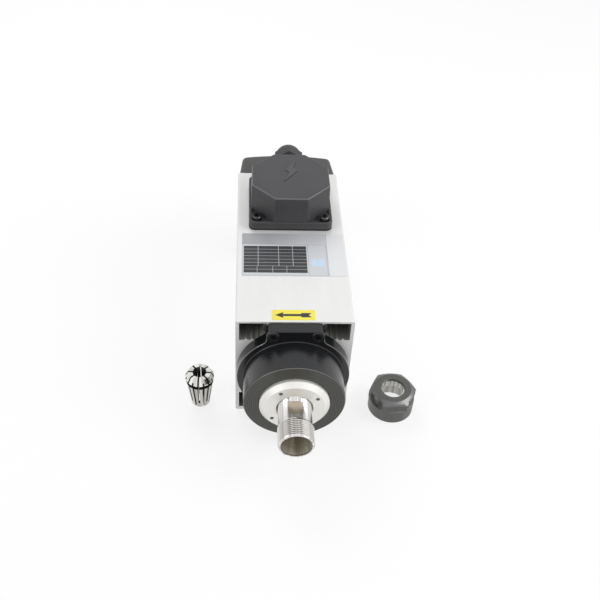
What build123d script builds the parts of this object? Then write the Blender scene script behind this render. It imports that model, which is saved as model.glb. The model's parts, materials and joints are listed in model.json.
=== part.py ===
from build123d import *
import os
from math import hypot, radians, tan

# Air-cooled motor spindle with a square extruded body, an ER20 nose, a terminal box
# on top and a fan at the rear.  Millimetres.  The spindle axis runs along Y with the
# nose towards -Y, +Z is up, and the origin is the middle of the underside.

os.makedirs("parts", exist_ok=True)

# ---------------------------------------------------------------- driving dimensions
# Body extrusion
body_width = 82.0
body_height = 92.0
body_length = 176.0
body_corner_radius = 1.6
stator_bore_radius = 35.5
tube_wall = 2.5
side_wall = 2.5
top_wall = 1.5
bottom_wall = 3.3
upper_channel_floor = 28.4
lower_channel_roof = 26.8
web_half_width = 20.0
screw_boss_radius = 6.6
ridge_height = 1.6
ridge_width = 2.6
ridge_pitch = 4.2
ridge_inset = 7.4
ridge_count = 3
base_hole_radius = 2.5
base_hole_depth = 8.0
base_hole_spacing_x = 32.0
base_hole_spacing_y = 100.0
lead_hole_radius = 7.0

# Front flange with the bearing nose
flange_radius = 40.0
flange_thickness = 8.8
tab_half_width = 19.8
tab_end_inset = 1.0
tab_corner_radius = 3.5
tab_foot_share = 0.5
flange_screw_x = 15.1
flange_screw_inset = 5.0
flange_screw_hold = 20.0
nose_radius = 35.5
nose_length = 32.7
nose_edge_chamfer = 0.7
nose_root_chamfer = 0.5
flange_edge_chamfer = 0.4
spigot_length = 5.0
spigot_wall = 4.5
fit_gap = 0.1
running_gap = 0.5

# Front bearing retainer
retainer_radius = 24.4
retainer_recess_gap = 0.5
retainer_recess_depth = 3.0
retainer_proud = 2.5
retainer_rim_chamfer = 0.5
retainer_face_rise = 2.8
retainer_face_radius = 21.2
retainer_spigot_length = 2.0
retainer_bore_radius = 12.7
retainer_relief_radius = 16.5
retainer_relief_depth = 4.0
pin_hole_radius = 1.4
pin_hole_depth = 1.3
pin_hole_circle = 18.3
pin_hole_angle = 33.0

# Bearings (bore radius, outside radius, width, ball radius, ball count)
front_bearing_bore = 12.5
front_bearing_outside = 23.5
front_bearing_width = 12.0
front_ball_radius = 3.2
front_ball_count = 11
rear_bearing_bore = 7.5
rear_bearing_outside = 17.5
rear_bearing_width = 11.0
rear_ball_radius = 3.0
rear_ball_count = 8
race_thickness_share = 0.24
ball_gap = 0.05
cage_thickness = 1.6
cage_width_share = 0.6
bearing_spacer_width = 4.0

# Shaft
thread_radius = 12.5
thread_length = 15.0
nose_chamfer = 0.8
neck_radius = 11.7
neck_length = 16.9
collar_radius = 15.0
flat_depth = 1.0
flat_length = 14.4
taper_mouth_radius = 10.7
taper_half_angle = 8.0
taper_depth = 28.0
relief_bore_radius = 6.0
relief_bore_depth = 44.0
lock_nut_radius = 17.5
lock_nut_width = 8.0
lock_nut_slot_width = 4.0
lock_nut_slot_depth = 1.8
rotor_seat_radius = 12.0
rear_shank_radius = 10.0
fan_seat_radius = 6.0

# Rotor and stator
stack_front = -60.0
stack_length = 90.0
rotor_radius = 20.5
air_gap = 0.5
rotor_bar_count = 20
rotor_bar_width = 2.0
rotor_bar_depth = 4.0
rotor_skin = 0.8
end_ring_length = 7.0
end_ring_inner_radius = 14.5
stator_slot_count = 24
stator_slot_width = 3.2
stator_slot_bottom = 31.0
stator_tooth_tip = 1.2
slot_gap = 0.1
end_turn_length = 15.0
end_turn_inner_radius = 22.5
end_turn_outer_radius = 33.0
lead_radius = 1.4
lead_spacing = 4.2

# Rear bearing plate
plate_radius = 36.6
plate_thickness = 6.0
plate_hub_radius = 21.5
plate_shoulder = 2.0
plate_tab_half_width = 17.0
plate_tab_inset = 4.0
plate_screw_x = 12.0
plate_screw_inset = 4.0
plate_screw_hold = 12.0
wave_spring_length = 1.6
wave_spring_thickness = 0.5
wave_spring_band = 4.2
wave_notch_length = 14.0
wave_count = 3

# Fan and fan cover
fan_radius = 31.5
fan_back_thickness = 1.8
fan_width = 12.0
fan_hub_radius = 10.0
fan_blade_count = 9
fan_blade_thickness = 1.6
fan_blade_bow = 4.5
fan_blade_lag = 1.5
fan_plate_gap = 3.0
clip_thickness = 1.2
clip_radius = 8.0
cover_inset = 0.8
cover_rear_half_width = 37.3
cover_rear_drop = 3.0
cover_rear_lift = 3.0
cover_corner_radius = 4.0
cover_length = 26.5
cover_bulge = 4.5
cover_wall = 2.2
grille_ring_inner = 6.0
grille_ring_pitch = 5.0
grille_ring_slot = 2.8
grille_ring_count = 5
grille_spoke_count = 8
grille_spoke_width = 3.0
cover_post_x = 32.5
cover_post_up = 23.6
cover_post_radius = 3.2
cover_screw_head_radius = 3.4
cover_screw_head_height = 2.2
cover_screw_hold = 12.0
cover_screw_seat_depth = 0.6

# Terminal box
box_centre_y = 43.2
box_width = 64.0
box_length = 62.4
box_corner_radius = 5.0
gasket_thickness = 1.4
box_flange_height = 7.2
hood_inset = 0.7
hood_draft = 1.4
box_height = 29.5
hood_edge_radius = 0.9
box_wall = 2.6
pocket_rim = 2.0
pocket_depth = 1.4
box_screw_inset = 6.1
terminal_block_size = (34.0, 13.0, 10.0)
terminal_block_gap = 0.7
stud_spacing = 9.0
stud_radius = 2.0
stud_height = 7.0
stud_nut_across = 7.0
stud_nut_height = 2.6
earth_screw_place = (18.0, 8.0)

# Cable gland
gland_rise = 15.0
gland_boss_radius = 12.4
gland_thread_radius = 8.0
gland_flange_across = 22.0
gland_flange_width = 4.5
gland_collar_length = 6.0
gland_bore_radius = 5.2
gland_nut_across = 22.0
gland_nut_hex_length = 8.5
gland_nut_dome_length = 9.0
gland_nut_mouth_radius = 6.2
gland_seal_bore = 4.0
gland_locknut_across = 20.0
gland_locknut_width = 4.0

# Screws (thread radius, head radius, head height, key across flats)
m5_screw = (2.5, 4.25, 5.0, 4.0)
m4_screw = (2.0, 3.6, 4.0, 3.0)
key_depth_share = 0.55
screw_edge_chamfer = 0.4
screw_clearance = 0.3
tap_gap = 0.08
counterbore_radius = 4.5

# Plate and label on the top face
name_plate_size = (76.8, 48.4)
name_plate_place = (1.4, -16.6)
name_plate_thickness = 0.3
arrow_label_size = (29.8, 10.0)
arrow_label_x = -1.2
arrow_label_inset = 6.8
arrow_label_thickness = 0.15

# ER20 collet and clamping nut, standing beside the nose
collet_place = (-67.4, -79.2)
collet_length = 31.5
collet_small_radius = 6.7
collet_groove_bottom = 23.4
collet_groove_width = 3.0
collet_groove_radius = 8.4
collet_head_radius = 10.5
collet_head_band = 1.2
collet_face_angle = 30.0
collet_bore_radius = 5.0
collet_slot_width = 1.1
collet_slot_count = 8
collet_slot_end = 5.0
collet_face_web = 2.6
nut_place = (76.4, -84.9)
nut_radius = 17.0
nut_height = 20.5
nut_across_flats = 31.0
nut_skirt_height = 11.3
nut_ledge_height = 1.3
nut_top_radius = 14.4
nut_top_slope = 1.3
nut_turn = 2.0
nut_thread_gap = 0.15
nut_thread_depth = 11.0
nut_ring_groove_radius = 13.4
nut_ring_groove_height = 3.0
nut_mouth_radius = 10.8
nut_lip_radius = 8.8
nut_lip_thickness = 1.3
nut_ring_bore_radius = 7.8
nut_ring_cone = 2.0

# ---------------------------------------------------------------- places along the axis
axis_height = body_height / 2
tab_reach = axis_height - tab_end_inset
flange_screw_up = tab_reach - flange_screw_inset
plate_tab_reach = axis_height - plate_tab_inset
plate_screw_up = plate_tab_reach - plate_screw_inset
cover_rear_top = body_height - cover_rear_drop
hood_across_flats = box_length - 2 * hood_inset
gland_axis_up = body_height + gland_rise
front_face = -body_length / 2
rear_face = body_length / 2
flange_front = front_face - flange_thickness
nose_front = front_face - nose_length
recess_floor = nose_front + retainer_recess_depth
front_bearing_start = recess_floor + retainer_spigot_length
spacer_start = front_bearing_start + front_bearing_width
second_bearing_start = spacer_start + bearing_spacer_width
second_bearing_end = second_bearing_start + front_bearing_width
retainer_rim_front = nose_front - retainer_proud
retainer_face = retainer_rim_front - retainer_face_rise
collar_front = front_bearing_start - retainer_relief_depth + running_gap
thread_start = retainer_face - neck_length
nose_end = thread_start - thread_length
lock_nut_end = second_bearing_end + lock_nut_width
stack_rear = stack_front + stack_length
rear_bearing_end = rear_face + plate_thickness - plate_shoulder - wave_spring_length
rear_bearing_start = rear_bearing_end - rear_bearing_width
plate_rear = rear_face + plate_thickness
fan_front = plate_rear + fan_plate_gap
fan_rear = fan_front + fan_width
shaft_rear = fan_rear + clip_thickness + 1.5
stator_inner_radius = rotor_radius + air_gap

spindle_axis = Axis((0, 0, axis_height), (0, 1, 0))
# Local x runs along the spindle axis, local y is the distance from it.
turning_plane = Plane(origin=(0, 0, axis_height), x_dir=(0, 1, 0), z_dir=(1, 0, 0))


def station(along):
    """Cross-section plane at one place on the axis; its normal points to the nose."""
    return Plane(origin=(0, along, axis_height), x_dir=(1, 0, 0), z_dir=(0, -1, 0))


def tail_station(along):
    """Cross-section plane whose normal points to the fan end; its local x is mirrored."""
    return Plane(origin=(0, along, axis_height), x_dir=(-1, 0, 0), z_dir=(0, 1, 0))


def four_places(x, up):
    """The four points at plus and minus x and up from the axis."""
    return [(side * x, way * up) for side in (-1, 1) for way in (-1, 1)]


def turn(outline, mode=Mode.ADD):
    """Revolve a closed outline of (along, radius) points about the spindle axis."""
    with BuildSketch(turning_plane) as section:
        with BuildLine():
            Polyline(*outline, close=True)
        make_face()
    revolve(section.sketch, axis=spindle_axis, mode=mode)


def sleeve(start, end, inner, outer, mode=Mode.ADD):
    """A plain ring on the spindle axis."""
    turn([(start, inner), (end, inner), (end, outer), (start, outer)], mode)


def upright(x, y, outline, mode=Mode.ADD):
    """Revolve a closed outline of (radius, height) points about a vertical line."""
    with BuildSketch(Plane(origin=(x, y, 0), x_dir=(1, 0, 0), z_dir=(0, -1, 0))) as section:
        with BuildLine():
            Polyline(*outline, close=True)
        make_face()
    revolve(section.sketch, axis=Axis((x, y, 0), (0, 0, 1)), mode=mode)


def socket_screws(seat, points, size, length):
    """Socket-head screws: heads rise from the seat plane, shanks run down behind it."""
    thread, head, height, key = size
    with BuildSketch(seat) as heads:
        with Locations(*points):
            Circle(head)
    extrude(heads.sketch, amount=height - screw_edge_chamfer)
    with BuildSketch(seat.offset(height - screw_edge_chamfer)) as rims:
        with Locations(*points):
            Circle(head)
    extrude(rims.sketch, amount=screw_edge_chamfer, taper=45)
    with BuildSketch(seat) as shanks:
        with Locations(*points):
            Circle(thread)
    extrude(shanks.sketch, amount=-length)
    with BuildSketch(seat.offset(height)) as keys:
        with Locations(*points):
            RegularPolygon(key / 2, 6, major_radius=False)
    extrude(keys.sketch, amount=-height * key_depth_share, mode=Mode.SUBTRACT)


def finish(piece, name):
    """Name a finished piece and write it as its own file."""
    piece.part.label = name
    export_step(piece.part, f"parts/{name}.step")


flange_screw_points = four_places(flange_screw_x, flange_screw_up)
plate_screw_points = four_places(plate_screw_x, plate_screw_up)
cover_screw_points = four_places(cover_post_x, cover_post_up)

# ---------------------------------------------------------------- body extrusion
channel_outer = body_width / 2 - side_wall
channel_ceiling = body_height - axis_height - top_wall
channel_bottom = axis_height - bottom_wall
end_holes = (
    (station(front_face), flange_screw_points, m5_screw[0], flange_screw_hold),
    (tail_station(rear_face), plate_screw_points, m4_screw[0], plate_screw_hold),
    (tail_station(rear_face), cover_screw_points, m4_screw[0], cover_screw_hold),
)

with BuildSketch(station(rear_face)) as channels:
    channel_width = channel_outer - web_half_width
    for side in (-1, 1):
        for low, high in (
            (upper_channel_floor, channel_ceiling),
            (-channel_bottom, -lower_channel_roof),
        ):
            with Locations((side * (web_half_width + channel_width / 2), (low + high) / 2)):
                Rectangle(channel_width, high - low)
    Circle(stator_bore_radius + tube_wall, mode=Mode.SUBTRACT)
    with Locations(*flange_screw_points):
        Circle(screw_boss_radius, mode=Mode.SUBTRACT)
    for side in (-1, 1):
        for n in range(ridge_count):
            x = side * (body_width / 2 - ridge_inset - n * ridge_pitch)
            for root, way in ((upper_channel_floor, 1), (-lower_channel_roof, -1)):
                with BuildLine():
                    Polyline(
                        (x - ridge_width / 2, root),
                        (x + ridge_width / 2, root),
                        (x, root + way * ridge_height),
                        close=True,
                    )
                make_face(mode=Mode.SUBTRACT)

with BuildPart() as body_extrusion:
    with BuildSketch(station(rear_face)):
        with Locations((0, body_height / 2 - axis_height)):
            RectangleRounded(body_width, body_height, body_corner_radius)
        Circle(stator_bore_radius, mode=Mode.SUBTRACT)
    extrude(amount=body_length)
    extrude(channels.sketch, amount=body_length, mode=Mode.SUBTRACT)
    # Tapped holes in both ends for the flange, the rear plate and the fan cover.
    for face, points, thread, hold in end_holes:
        with Locations(face):
            with Locations(*points):
                Hole(thread + tap_gap, hold + 2.0)
    # Four tapped holes in the underside for the machine's mounting plate.
    with BuildSketch(Plane.XY) as base_holes:
        with GridLocations(base_hole_spacing_x, base_hole_spacing_y, 2, 2):
            Circle(base_hole_radius)
    extrude(base_holes.sketch, amount=base_hole_depth, mode=Mode.SUBTRACT)
    # Way for the leads into the terminal box.
    with BuildSketch(Plane.XY.offset(body_height)) as lead_way:
        with Locations((0, box_centre_y)):
            Circle(lead_hole_radius)
    extrude(lead_way.sketch, amount=-(body_height - axis_height), mode=Mode.SUBTRACT)
    # Thread holes for the four terminal box screws.
    box_screw_x = box_width / 2 - box_screw_inset
    box_screw_y = box_length / 2 - box_screw_inset
    box_screw_points = [
        (side * box_screw_x, box_centre_y + end * box_screw_y)
        for side in (-1, 1)
        for end in (-1, 1)
    ]
    with BuildSketch(Plane.XY.offset(body_height)) as box_holes:
        with Locations(*box_screw_points):
            Circle(m4_screw[0] + tap_gap)
    extrude(box_holes.sketch, amount=-3 * top_wall, mode=Mode.SUBTRACT)
finish(body_extrusion, "body_extrusion")

# ---------------------------------------------------------------- front flange and nose
foot_base = (flange_radius**2 - tab_half_width**2) ** 0.5
with BuildPart() as front_flange:
    with BuildSketch(station(front_face)) as flange_outline:
        Circle(flange_radius)
        Rectangle(2 * tab_half_width, 2 * tab_reach)
        rows = flange_outline.vertices().group_by(Axis.Y)
        fillet(rows[0] + rows[-1], tab_corner_radius)
        rows = flange_outline.vertices().sort_by(Axis.Y)
        feet = [v for v in rows if abs(abs(v.X) - tab_half_width) < 0.01]
        feet = [v for v in feet if abs(hypot(v.X, v.Y) - flange_radius) < 0.01]
        # The feet take their share of each tab's straight side.
        foot_rise = (1 - tab_foot_share) * foot_base + tab_foot_share * (
            tab_reach - tab_corner_radius
        )
        foot_radius = (foot_rise**2 - foot_base**2) / (2 * (flange_radius - tab_half_width))
        fillet(feet, foot_radius)
    extrude(amount=flange_thickness)
    chamfer(front_flange.faces().sort_by(Axis.Y)[0].edges(), flange_edge_chamfer)
    turn(
        [
            (front_face, 0),
            (front_face, nose_radius + nose_root_chamfer),
            (flange_front, nose_radius + nose_root_chamfer),
            (flange_front - nose_root_chamfer, nose_radius),
            (nose_front + nose_edge_chamfer, nose_radius),
            (nose_front, nose_radius - nose_edge_chamfer),
            (nose_front, 0),
        ]
    )
    spigot_radius = stator_bore_radius - fit_gap
    sleeve(front_face, front_face + spigot_length, 0, spigot_radius)
    # Stepped bore: retainer recess, bearing seat, shoulder and relief behind it.
    recess_radius = retainer_radius + retainer_recess_gap
    shoulder_radius = front_bearing_outside - 3.0
    inner_relief = spigot_radius - spigot_wall
    turn(
        [
            (nose_front, 0),
            (nose_front, recess_radius),
            (recess_floor, recess_radius),
            (recess_floor, front_bearing_outside),
            (second_bearing_end, front_bearing_outside),
            (second_bearing_end, shoulder_radius),
            (second_bearing_end + 2.0, shoulder_radius),
            (second_bearing_end + 2.0, inner_relief),
            (front_face + spigot_length, inner_relief),
            (front_face + spigot_length, 0),
        ],
        Mode.SUBTRACT,
    )
    with Locations(station(flange_front)):
        with Locations(*flange_screw_points):
            CounterBoreHole(
                m5_screw[0] + screw_clearance,
                counterbore_radius,
                m5_screw[2],
                flange_thickness,
            )
finish(front_flange, "front_flange")

with BuildPart() as flange_screws:
    socket_screws(
        station(flange_front + m5_screw[2]),
        flange_screw_points,
        m5_screw,
        flange_thickness - m5_screw[2] + flange_screw_hold,
    )
finish(flange_screws, "flange_screws")

# ---------------------------------------------------------------- front bearing retainer
with BuildPart() as front_bearing_retainer:
    turn(
        [
            (front_bearing_start, retainer_relief_radius),
            (front_bearing_start, front_bearing_outside - fit_gap),
            (recess_floor, front_bearing_outside - fit_gap),
            (recess_floor, retainer_radius),
            (retainer_rim_front + retainer_rim_chamfer, retainer_radius),
            (retainer_rim_front, retainer_radius - retainer_rim_chamfer),
            (retainer_face, retainer_face_radius),
            (retainer_face, retainer_bore_radius + 0.4),
            (retainer_face + 0.4, retainer_bore_radius),
            (front_bearing_start - retainer_relief_depth, retainer_bore_radius),
            (front_bearing_start - retainer_relief_depth, retainer_relief_radius),
        ]
    )
    with BuildSketch(station(retainer_face)) as pin_holes:
        with PolarLocations(pin_hole_circle, 4, pin_hole_angle):
            Circle(pin_hole_radius)
    extrude(pin_holes.sketch, amount=-pin_hole_depth, mode=Mode.SUBTRACT)
finish(front_bearing_retainer, "front_bearing_retainer")

# ---------------------------------------------------------------- bearings
bearing_sizes = {
    "front_bearing": (
        front_bearing_start,
        front_bearing_bore,
        front_bearing_outside,
        front_bearing_width,
        front_ball_radius,
        front_ball_count,
    ),
    "second_bearing": (
        second_bearing_start,
        front_bearing_bore,
        front_bearing_outside,
        front_bearing_width,
        front_ball_radius,
        front_ball_count,
    ),
    "rear_bearing": (
        rear_bearing_start,
        rear_bearing_bore,
        rear_bearing_outside,
        rear_bearing_width,
        rear_ball_radius,
        rear_ball_count,
    ),
}
for name, (start, bore, outside, width, ball, count) in bearing_sizes.items():
    pitch = (bore + outside) / 2
    race = (outside - bore) * race_thickness_share
    middle = start + width / 2
    cage_width = width * cage_width_share
    with BuildPart() as outer_race:
        with BuildSketch(turning_plane):
            with Locations((middle, outside - race / 2)):
                Rectangle(width, race)
            with Locations((middle, pitch)):
                Circle(ball + ball_gap, mode=Mode.SUBTRACT)
        revolve(axis=spindle_axis)
    finish(outer_race, f"{name}_outer_race")
    with BuildPart() as inner_race:
        with BuildSketch(turning_plane):
            with Locations((middle, bore + race / 2)):
                Rectangle(width, race)
            with Locations((middle, pitch)):
                Circle(ball + ball_gap, mode=Mode.SUBTRACT)
        revolve(axis=spindle_axis)
    finish(inner_race, f"{name}_inner_race")
    with BuildPart() as ball_cage:
        sleeve(
            middle - cage_width / 2,
            middle + cage_width / 2,
            pitch - cage_thickness / 2,
            pitch + cage_thickness / 2,
        )
        with Locations(station(middle)):
            with PolarLocations(pitch, count):
                Sphere(ball)
    finish(ball_cage, f"{name}_ball_cage")

for name, inner, outer in (
    ("inner_spacer", front_bearing_bore, front_bearing_bore + 3.0),
    ("outer_spacer", front_bearing_outside - 3.0, front_bearing_outside),
):
    with BuildPart() as spacer:
        sleeve(spacer_start, second_bearing_start, inner, outer)
    finish(spacer, name)

# ---------------------------------------------------------------- shaft
rear_seat_start = rear_bearing_start - running_gap
taper_end_radius = taper_mouth_radius - taper_depth * tan(radians(taper_half_angle))
with BuildPart() as shaft:
    turn(
        [
            (nose_end, 0),
            (nose_end, thread_radius - nose_chamfer),
            (nose_end + nose_chamfer, thread_radius),
            (thread_start, thread_radius),
            (thread_start, neck_radius),
            (collar_front, neck_radius),
            (collar_front, collar_radius),
            (front_bearing_start, collar_radius),
            (front_bearing_start, front_bearing_bore),
            (lock_nut_end, front_bearing_bore),
            (lock_nut_end, rotor_seat_radius),
            (stack_rear + end_ring_length, rotor_seat_radius),
            (stack_rear + end_ring_length, rear_shank_radius),
            (rear_seat_start, rear_shank_radius),
            (rear_seat_start, rear_bearing_bore),
            (fan_front - running_gap, rear_bearing_bore),
            (fan_front - running_gap, fan_seat_radius),
            (shaft_rear, fan_seat_radius),
            (shaft_rear, 0),
        ]
    )
    turn(
        [
            (nose_end, 0),
            (nose_end, taper_mouth_radius),
            (nose_end + taper_depth, taper_end_radius),
            (nose_end + taper_depth, relief_bore_radius),
            (nose_end + relief_bore_depth, relief_bore_radius),
            (nose_end + relief_bore_depth + relief_bore_radius * 0.6, 0),
        ],
        Mode.SUBTRACT,
    )
    # Two wrench flats across the neck.
    for way in (-1, 1):
        with BuildSketch(station(thread_start)) as flat:
            with Locations((0, way * (2 * neck_radius - flat_depth))):
                Rectangle(4 * neck_radius, 2 * neck_radius)
        extrude(flat.sketch, amount=-flat_length, mode=Mode.SUBTRACT)
    # Groove that holds the retaining ring behind the fan.
    sleeve(fan_rear, fan_rear + clip_thickness, fan_seat_radius - 0.8, 2 * fan_seat_radius,
           Mode.SUBTRACT)
finish(shaft, "shaft")

with BuildPart() as shaft_lock_nut:
    sleeve(second_bearing_end, lock_nut_end, front_bearing_bore + fit_gap / 2, lock_nut_radius)
    with BuildSketch(station(lock_nut_end)) as wrench_slots:
        with PolarLocations(lock_nut_radius, 4):
            Rectangle(2 * lock_nut_slot_depth, lock_nut_slot_width)
    extrude(wrench_slots.sketch, amount=lock_nut_width, mode=Mode.SUBTRACT)
finish(shaft_lock_nut, "shaft_lock_nut")

# ---------------------------------------------------------------- rotor and stator
rotor_bar_centre = rotor_radius - rotor_skin - rotor_bar_depth / 2
with BuildPart() as rotor_core:
    sleeve(stack_front, stack_rear, rotor_seat_radius, rotor_radius)
    with BuildSketch(station(stack_rear)) as rotor_slots:
        with PolarLocations(rotor_bar_centre, rotor_bar_count):
            Rectangle(rotor_bar_depth + slot_gap, rotor_bar_width + slot_gap)
    extrude(rotor_slots.sketch, amount=stack_length, mode=Mode.SUBTRACT)
finish(rotor_core, "rotor_core")

with BuildPart() as rotor_cage:
    sleeve(stack_front - end_ring_length, stack_front, end_ring_inner_radius,
           rotor_radius - rotor_skin)
    sleeve(stack_rear, stack_rear + end_ring_length, end_ring_inner_radius,
           rotor_radius - rotor_skin)
    with BuildSketch(station(stack_rear)) as rotor_bars:
        with PolarLocations(rotor_bar_centre, rotor_bar_count):
            Rectangle(rotor_bar_depth, rotor_bar_width)
    extrude(rotor_bars.sketch, amount=stack_length)
finish(rotor_cage, "rotor_cage")

slot_top = stator_inner_radius + stator_tooth_tip
slot_depth = stator_slot_bottom - slot_top
slot_centre = (stator_slot_bottom + slot_top) / 2
with BuildPart() as stator_core:
    sleeve(stack_front, stack_rear, stator_inner_radius, stator_bore_radius)
    with BuildSketch(station(stack_rear)) as stator_slots:
        with PolarLocations(slot_centre, stator_slot_count):
            Rectangle(slot_depth + slot_gap, stator_slot_width + slot_gap)
    extrude(stator_slots.sketch, amount=stack_length, mode=Mode.SUBTRACT)
finish(stator_core, "stator_core")

with BuildPart() as stator_winding:
    for near, way in ((stack_front, -1), (stack_rear, 1)):
        far = near + way * end_turn_length
        turn(
            [
                (near, end_turn_inner_radius),
                (far - way * 3, end_turn_inner_radius),
                (far, end_turn_inner_radius + 3),
                (far, end_turn_outer_radius - 3),
                (far - way * 3, end_turn_outer_radius),
                (near + way * 2, end_turn_outer_radius),
                (near, stator_slot_bottom),
            ]
        )
    with BuildSketch(station(stack_rear)) as coil_sides:
        with PolarLocations(slot_centre, stator_slot_count):
            Rectangle(slot_depth, stator_slot_width)
    extrude(coil_sides.sketch, amount=stack_length)
finish(stator_winding, "stator_winding")

# ---------------------------------------------------------------- rear bearing plate
with BuildPart() as rear_bearing_plate:
    with BuildSketch(station(plate_rear)):
        Circle(plate_radius)
        RectangleRounded(2 * plate_tab_half_width, 2 * plate_tab_reach, 3.0)
    extrude(amount=plate_thickness)
    sleeve(rear_face - spigot_length, rear_face, 0, spigot_radius)
    sleeve(rear_bearing_start, rear_face, 0, plate_hub_radius)
    turn(
        [
            (rear_face - spigot_length, plate_hub_radius),
            (rear_face - 1.0, plate_hub_radius),
            (rear_face - 1.0, inner_relief),
            (rear_face - spigot_length, inner_relief),
        ],
        Mode.SUBTRACT,
    )
    plate_eye = rear_bearing_bore + 1.0
    turn(
        [
            (rear_bearing_start, 0),
            (rear_bearing_start, rear_bearing_outside),
            (plate_rear - plate_shoulder, rear_bearing_outside),
            (plate_rear - plate_shoulder, plate_eye),
            (plate_rear, plate_eye),
            (plate_rear, 0),
        ],
        Mode.SUBTRACT,
    )
    with Locations(tail_station(plate_rear)):
        with Locations(*plate_screw_points):
            Hole(m4_screw[0] + screw_clearance, plate_thickness)
finish(rear_bearing_plate, "rear_bearing_plate")

with BuildPart() as rear_plate_screws:
    socket_screws(
        tail_station(plate_rear),
        plate_screw_points,
        m4_screw,
        plate_thickness + plate_screw_hold,
    )
finish(rear_plate_screws, "rear_plate_screws")

with BuildPart() as wave_spring:
    spring_start = plate_rear - plate_shoulder - wave_spring_length
    spring_outside = rear_bearing_outside - screw_clearance
    spring_inside = spring_outside - wave_spring_band
    sleeve(spring_start, spring_start + wave_spring_length, spring_inside, spring_outside)
    # Shallow notches on both faces leave the waves standing.
    for face, way, phase in ((spring_start, -1, 0), (spring_start + wave_spring_length, 1, 60)):
        with BuildSketch(station(face)) as notches:
            with PolarLocations((spring_inside + spring_outside) / 2, wave_count, phase):
                Rectangle(2 * wave_spring_band, wave_notch_length)
        extrude(notches.sketch, amount=way * (wave_spring_length - wave_spring_thickness),
                mode=Mode.SUBTRACT)
finish(wave_spring, "wave_spring")

# ---------------------------------------------------------------- cooling fan
with BuildPart() as cooling_fan:
    sleeve(fan_front, fan_front + fan_back_thickness, 0, fan_radius)
    sleeve(fan_front, fan_rear, 0, fan_hub_radius)
    with BuildSketch(station(fan_front + fan_back_thickness)) as blades:
        with PolarLocations(0, fan_blade_count):
            with BuildLine():
                ThreePointArc(
                    (fan_hub_radius - fan_blade_thickness / 2, 0),
                    ((fan_hub_radius + fan_radius) / 2, -fan_blade_bow),
                    (fan_radius - fan_blade_thickness, -fan_blade_lag),
                )
            trace(line_width=fan_blade_thickness)
    extrude(blades.sketch, amount=-(fan_width - fan_back_thickness))
    sleeve(fan_front, fan_rear, 0, fan_seat_radius + fit_gap / 2, Mode.SUBTRACT)
finish(cooling_fan, "cooling_fan")

with BuildPart() as fan_retaining_ring:
    clip_inner = fan_seat_radius - 0.8 + fit_gap / 2
    sleeve(fan_rear, fan_rear + clip_thickness - fit_gap, clip_inner, clip_radius)
    with BuildSketch(station(fan_rear + clip_thickness)) as mouth:
        with Locations((0, clip_radius)):
            Rectangle(5.0, 2 * clip_radius - 4.0)
    extrude(mouth.sketch, amount=clip_thickness, mode=Mode.SUBTRACT)
finish(fan_retaining_ring, "fan_retaining_ring")

# ---------------------------------------------------------------- fan cover
cover_rear = rear_face + cover_length
cover_apex = cover_rear + cover_bulge
cover_seat = cover_rear - cover_screw_seat_depth
bulge_radius = (cover_rear_half_width**2 + cover_bulge**2) / (2 * cover_bulge)
cover_front_size = (body_width - 2 * cover_inset, body_height - 2 * cover_inset)
cover_rear_size = (2 * cover_rear_half_width, cover_rear_top - cover_rear_lift)
cover_rear_middle = (cover_rear_top + cover_rear_lift) / 2 - axis_height


def cover_loft(start, end, shrink, mode=Mode.ADD):
    """Tapered square shell form between two stations, drawn in by shrink all round."""
    with BuildSketch() as near:
        RectangleRounded(
            cover_front_size[0] - 2 * shrink,
            cover_front_size[1] - 2 * shrink,
            cover_corner_radius - shrink,
        )
    with BuildSketch() as far:
        RectangleRounded(
            cover_rear_size[0] - 2 * shrink,
            cover_rear_size[1] - 2 * shrink,
            cover_corner_radius - shrink,
        )
    front_plane = station(start)
    rear_plane = Plane(
        origin=(0, end, axis_height + cover_rear_middle), x_dir=(1, 0, 0), z_dir=(0, -1, 0)
    )
    loft([front_plane * near.sketch.face(), rear_plane * far.sketch.face()], mode=mode)


def bulge_disc(inward):
    """Plan disc whose far edge is the bulging rear wall, set inward by a distance."""
    with BuildSketch(Plane.XY) as disc:
        with Locations((0, cover_apex - bulge_radius - inward)):
            Circle(bulge_radius)
    extrude(disc.sketch, amount=body_height, mode=Mode.INTERSECT)


with BuildPart() as cover_hollow:
    cover_loft(rear_face, cover_apex, cover_wall)
    bulge_disc(cover_wall)
    # Four posts stay in the hollow for the long cover screws.
    with BuildSketch(station(rear_face)) as posts:
        with Locations(*cover_screw_points):
            Circle(cover_post_radius)
    extrude(posts.sketch, amount=-(cover_apex - rear_face), mode=Mode.SUBTRACT)

with BuildPart() as fan_cover:
    cover_loft(rear_face, cover_apex, 0)
    bulge_disc(0)
    add(cover_hollow.part, mode=Mode.SUBTRACT)
    # Air inlet: rings of slots between spokes, centred on the axis.
    inlet_radius = grille_ring_inner + grille_ring_count * grille_ring_pitch
    with BuildSketch(station(cover_apex)) as inlet:
        for n in reversed(range(grille_ring_count)):
            ring_radius = grille_ring_inner + n * grille_ring_pitch
            Circle(ring_radius + grille_ring_slot)
            Circle(ring_radius, mode=Mode.SUBTRACT)
        with PolarLocations(0, grille_spoke_count // 2, 0, 180, 0):
            Rectangle(2 * inlet_radius, grille_spoke_width, mode=Mode.SUBTRACT)
    extrude(inlet.sketch, amount=cover_bulge + 2 * cover_wall, mode=Mode.SUBTRACT)
    with Locations(tail_station(cover_apex)):
        with Locations(*cover_screw_points):
            CounterBoreHole(
                m4_screw[0] + screw_clearance,
                cover_screw_head_radius + screw_clearance,
                cover_apex - cover_seat,
                cover_apex - rear_face,
            )
finish(fan_cover, "fan_cover")

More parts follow.
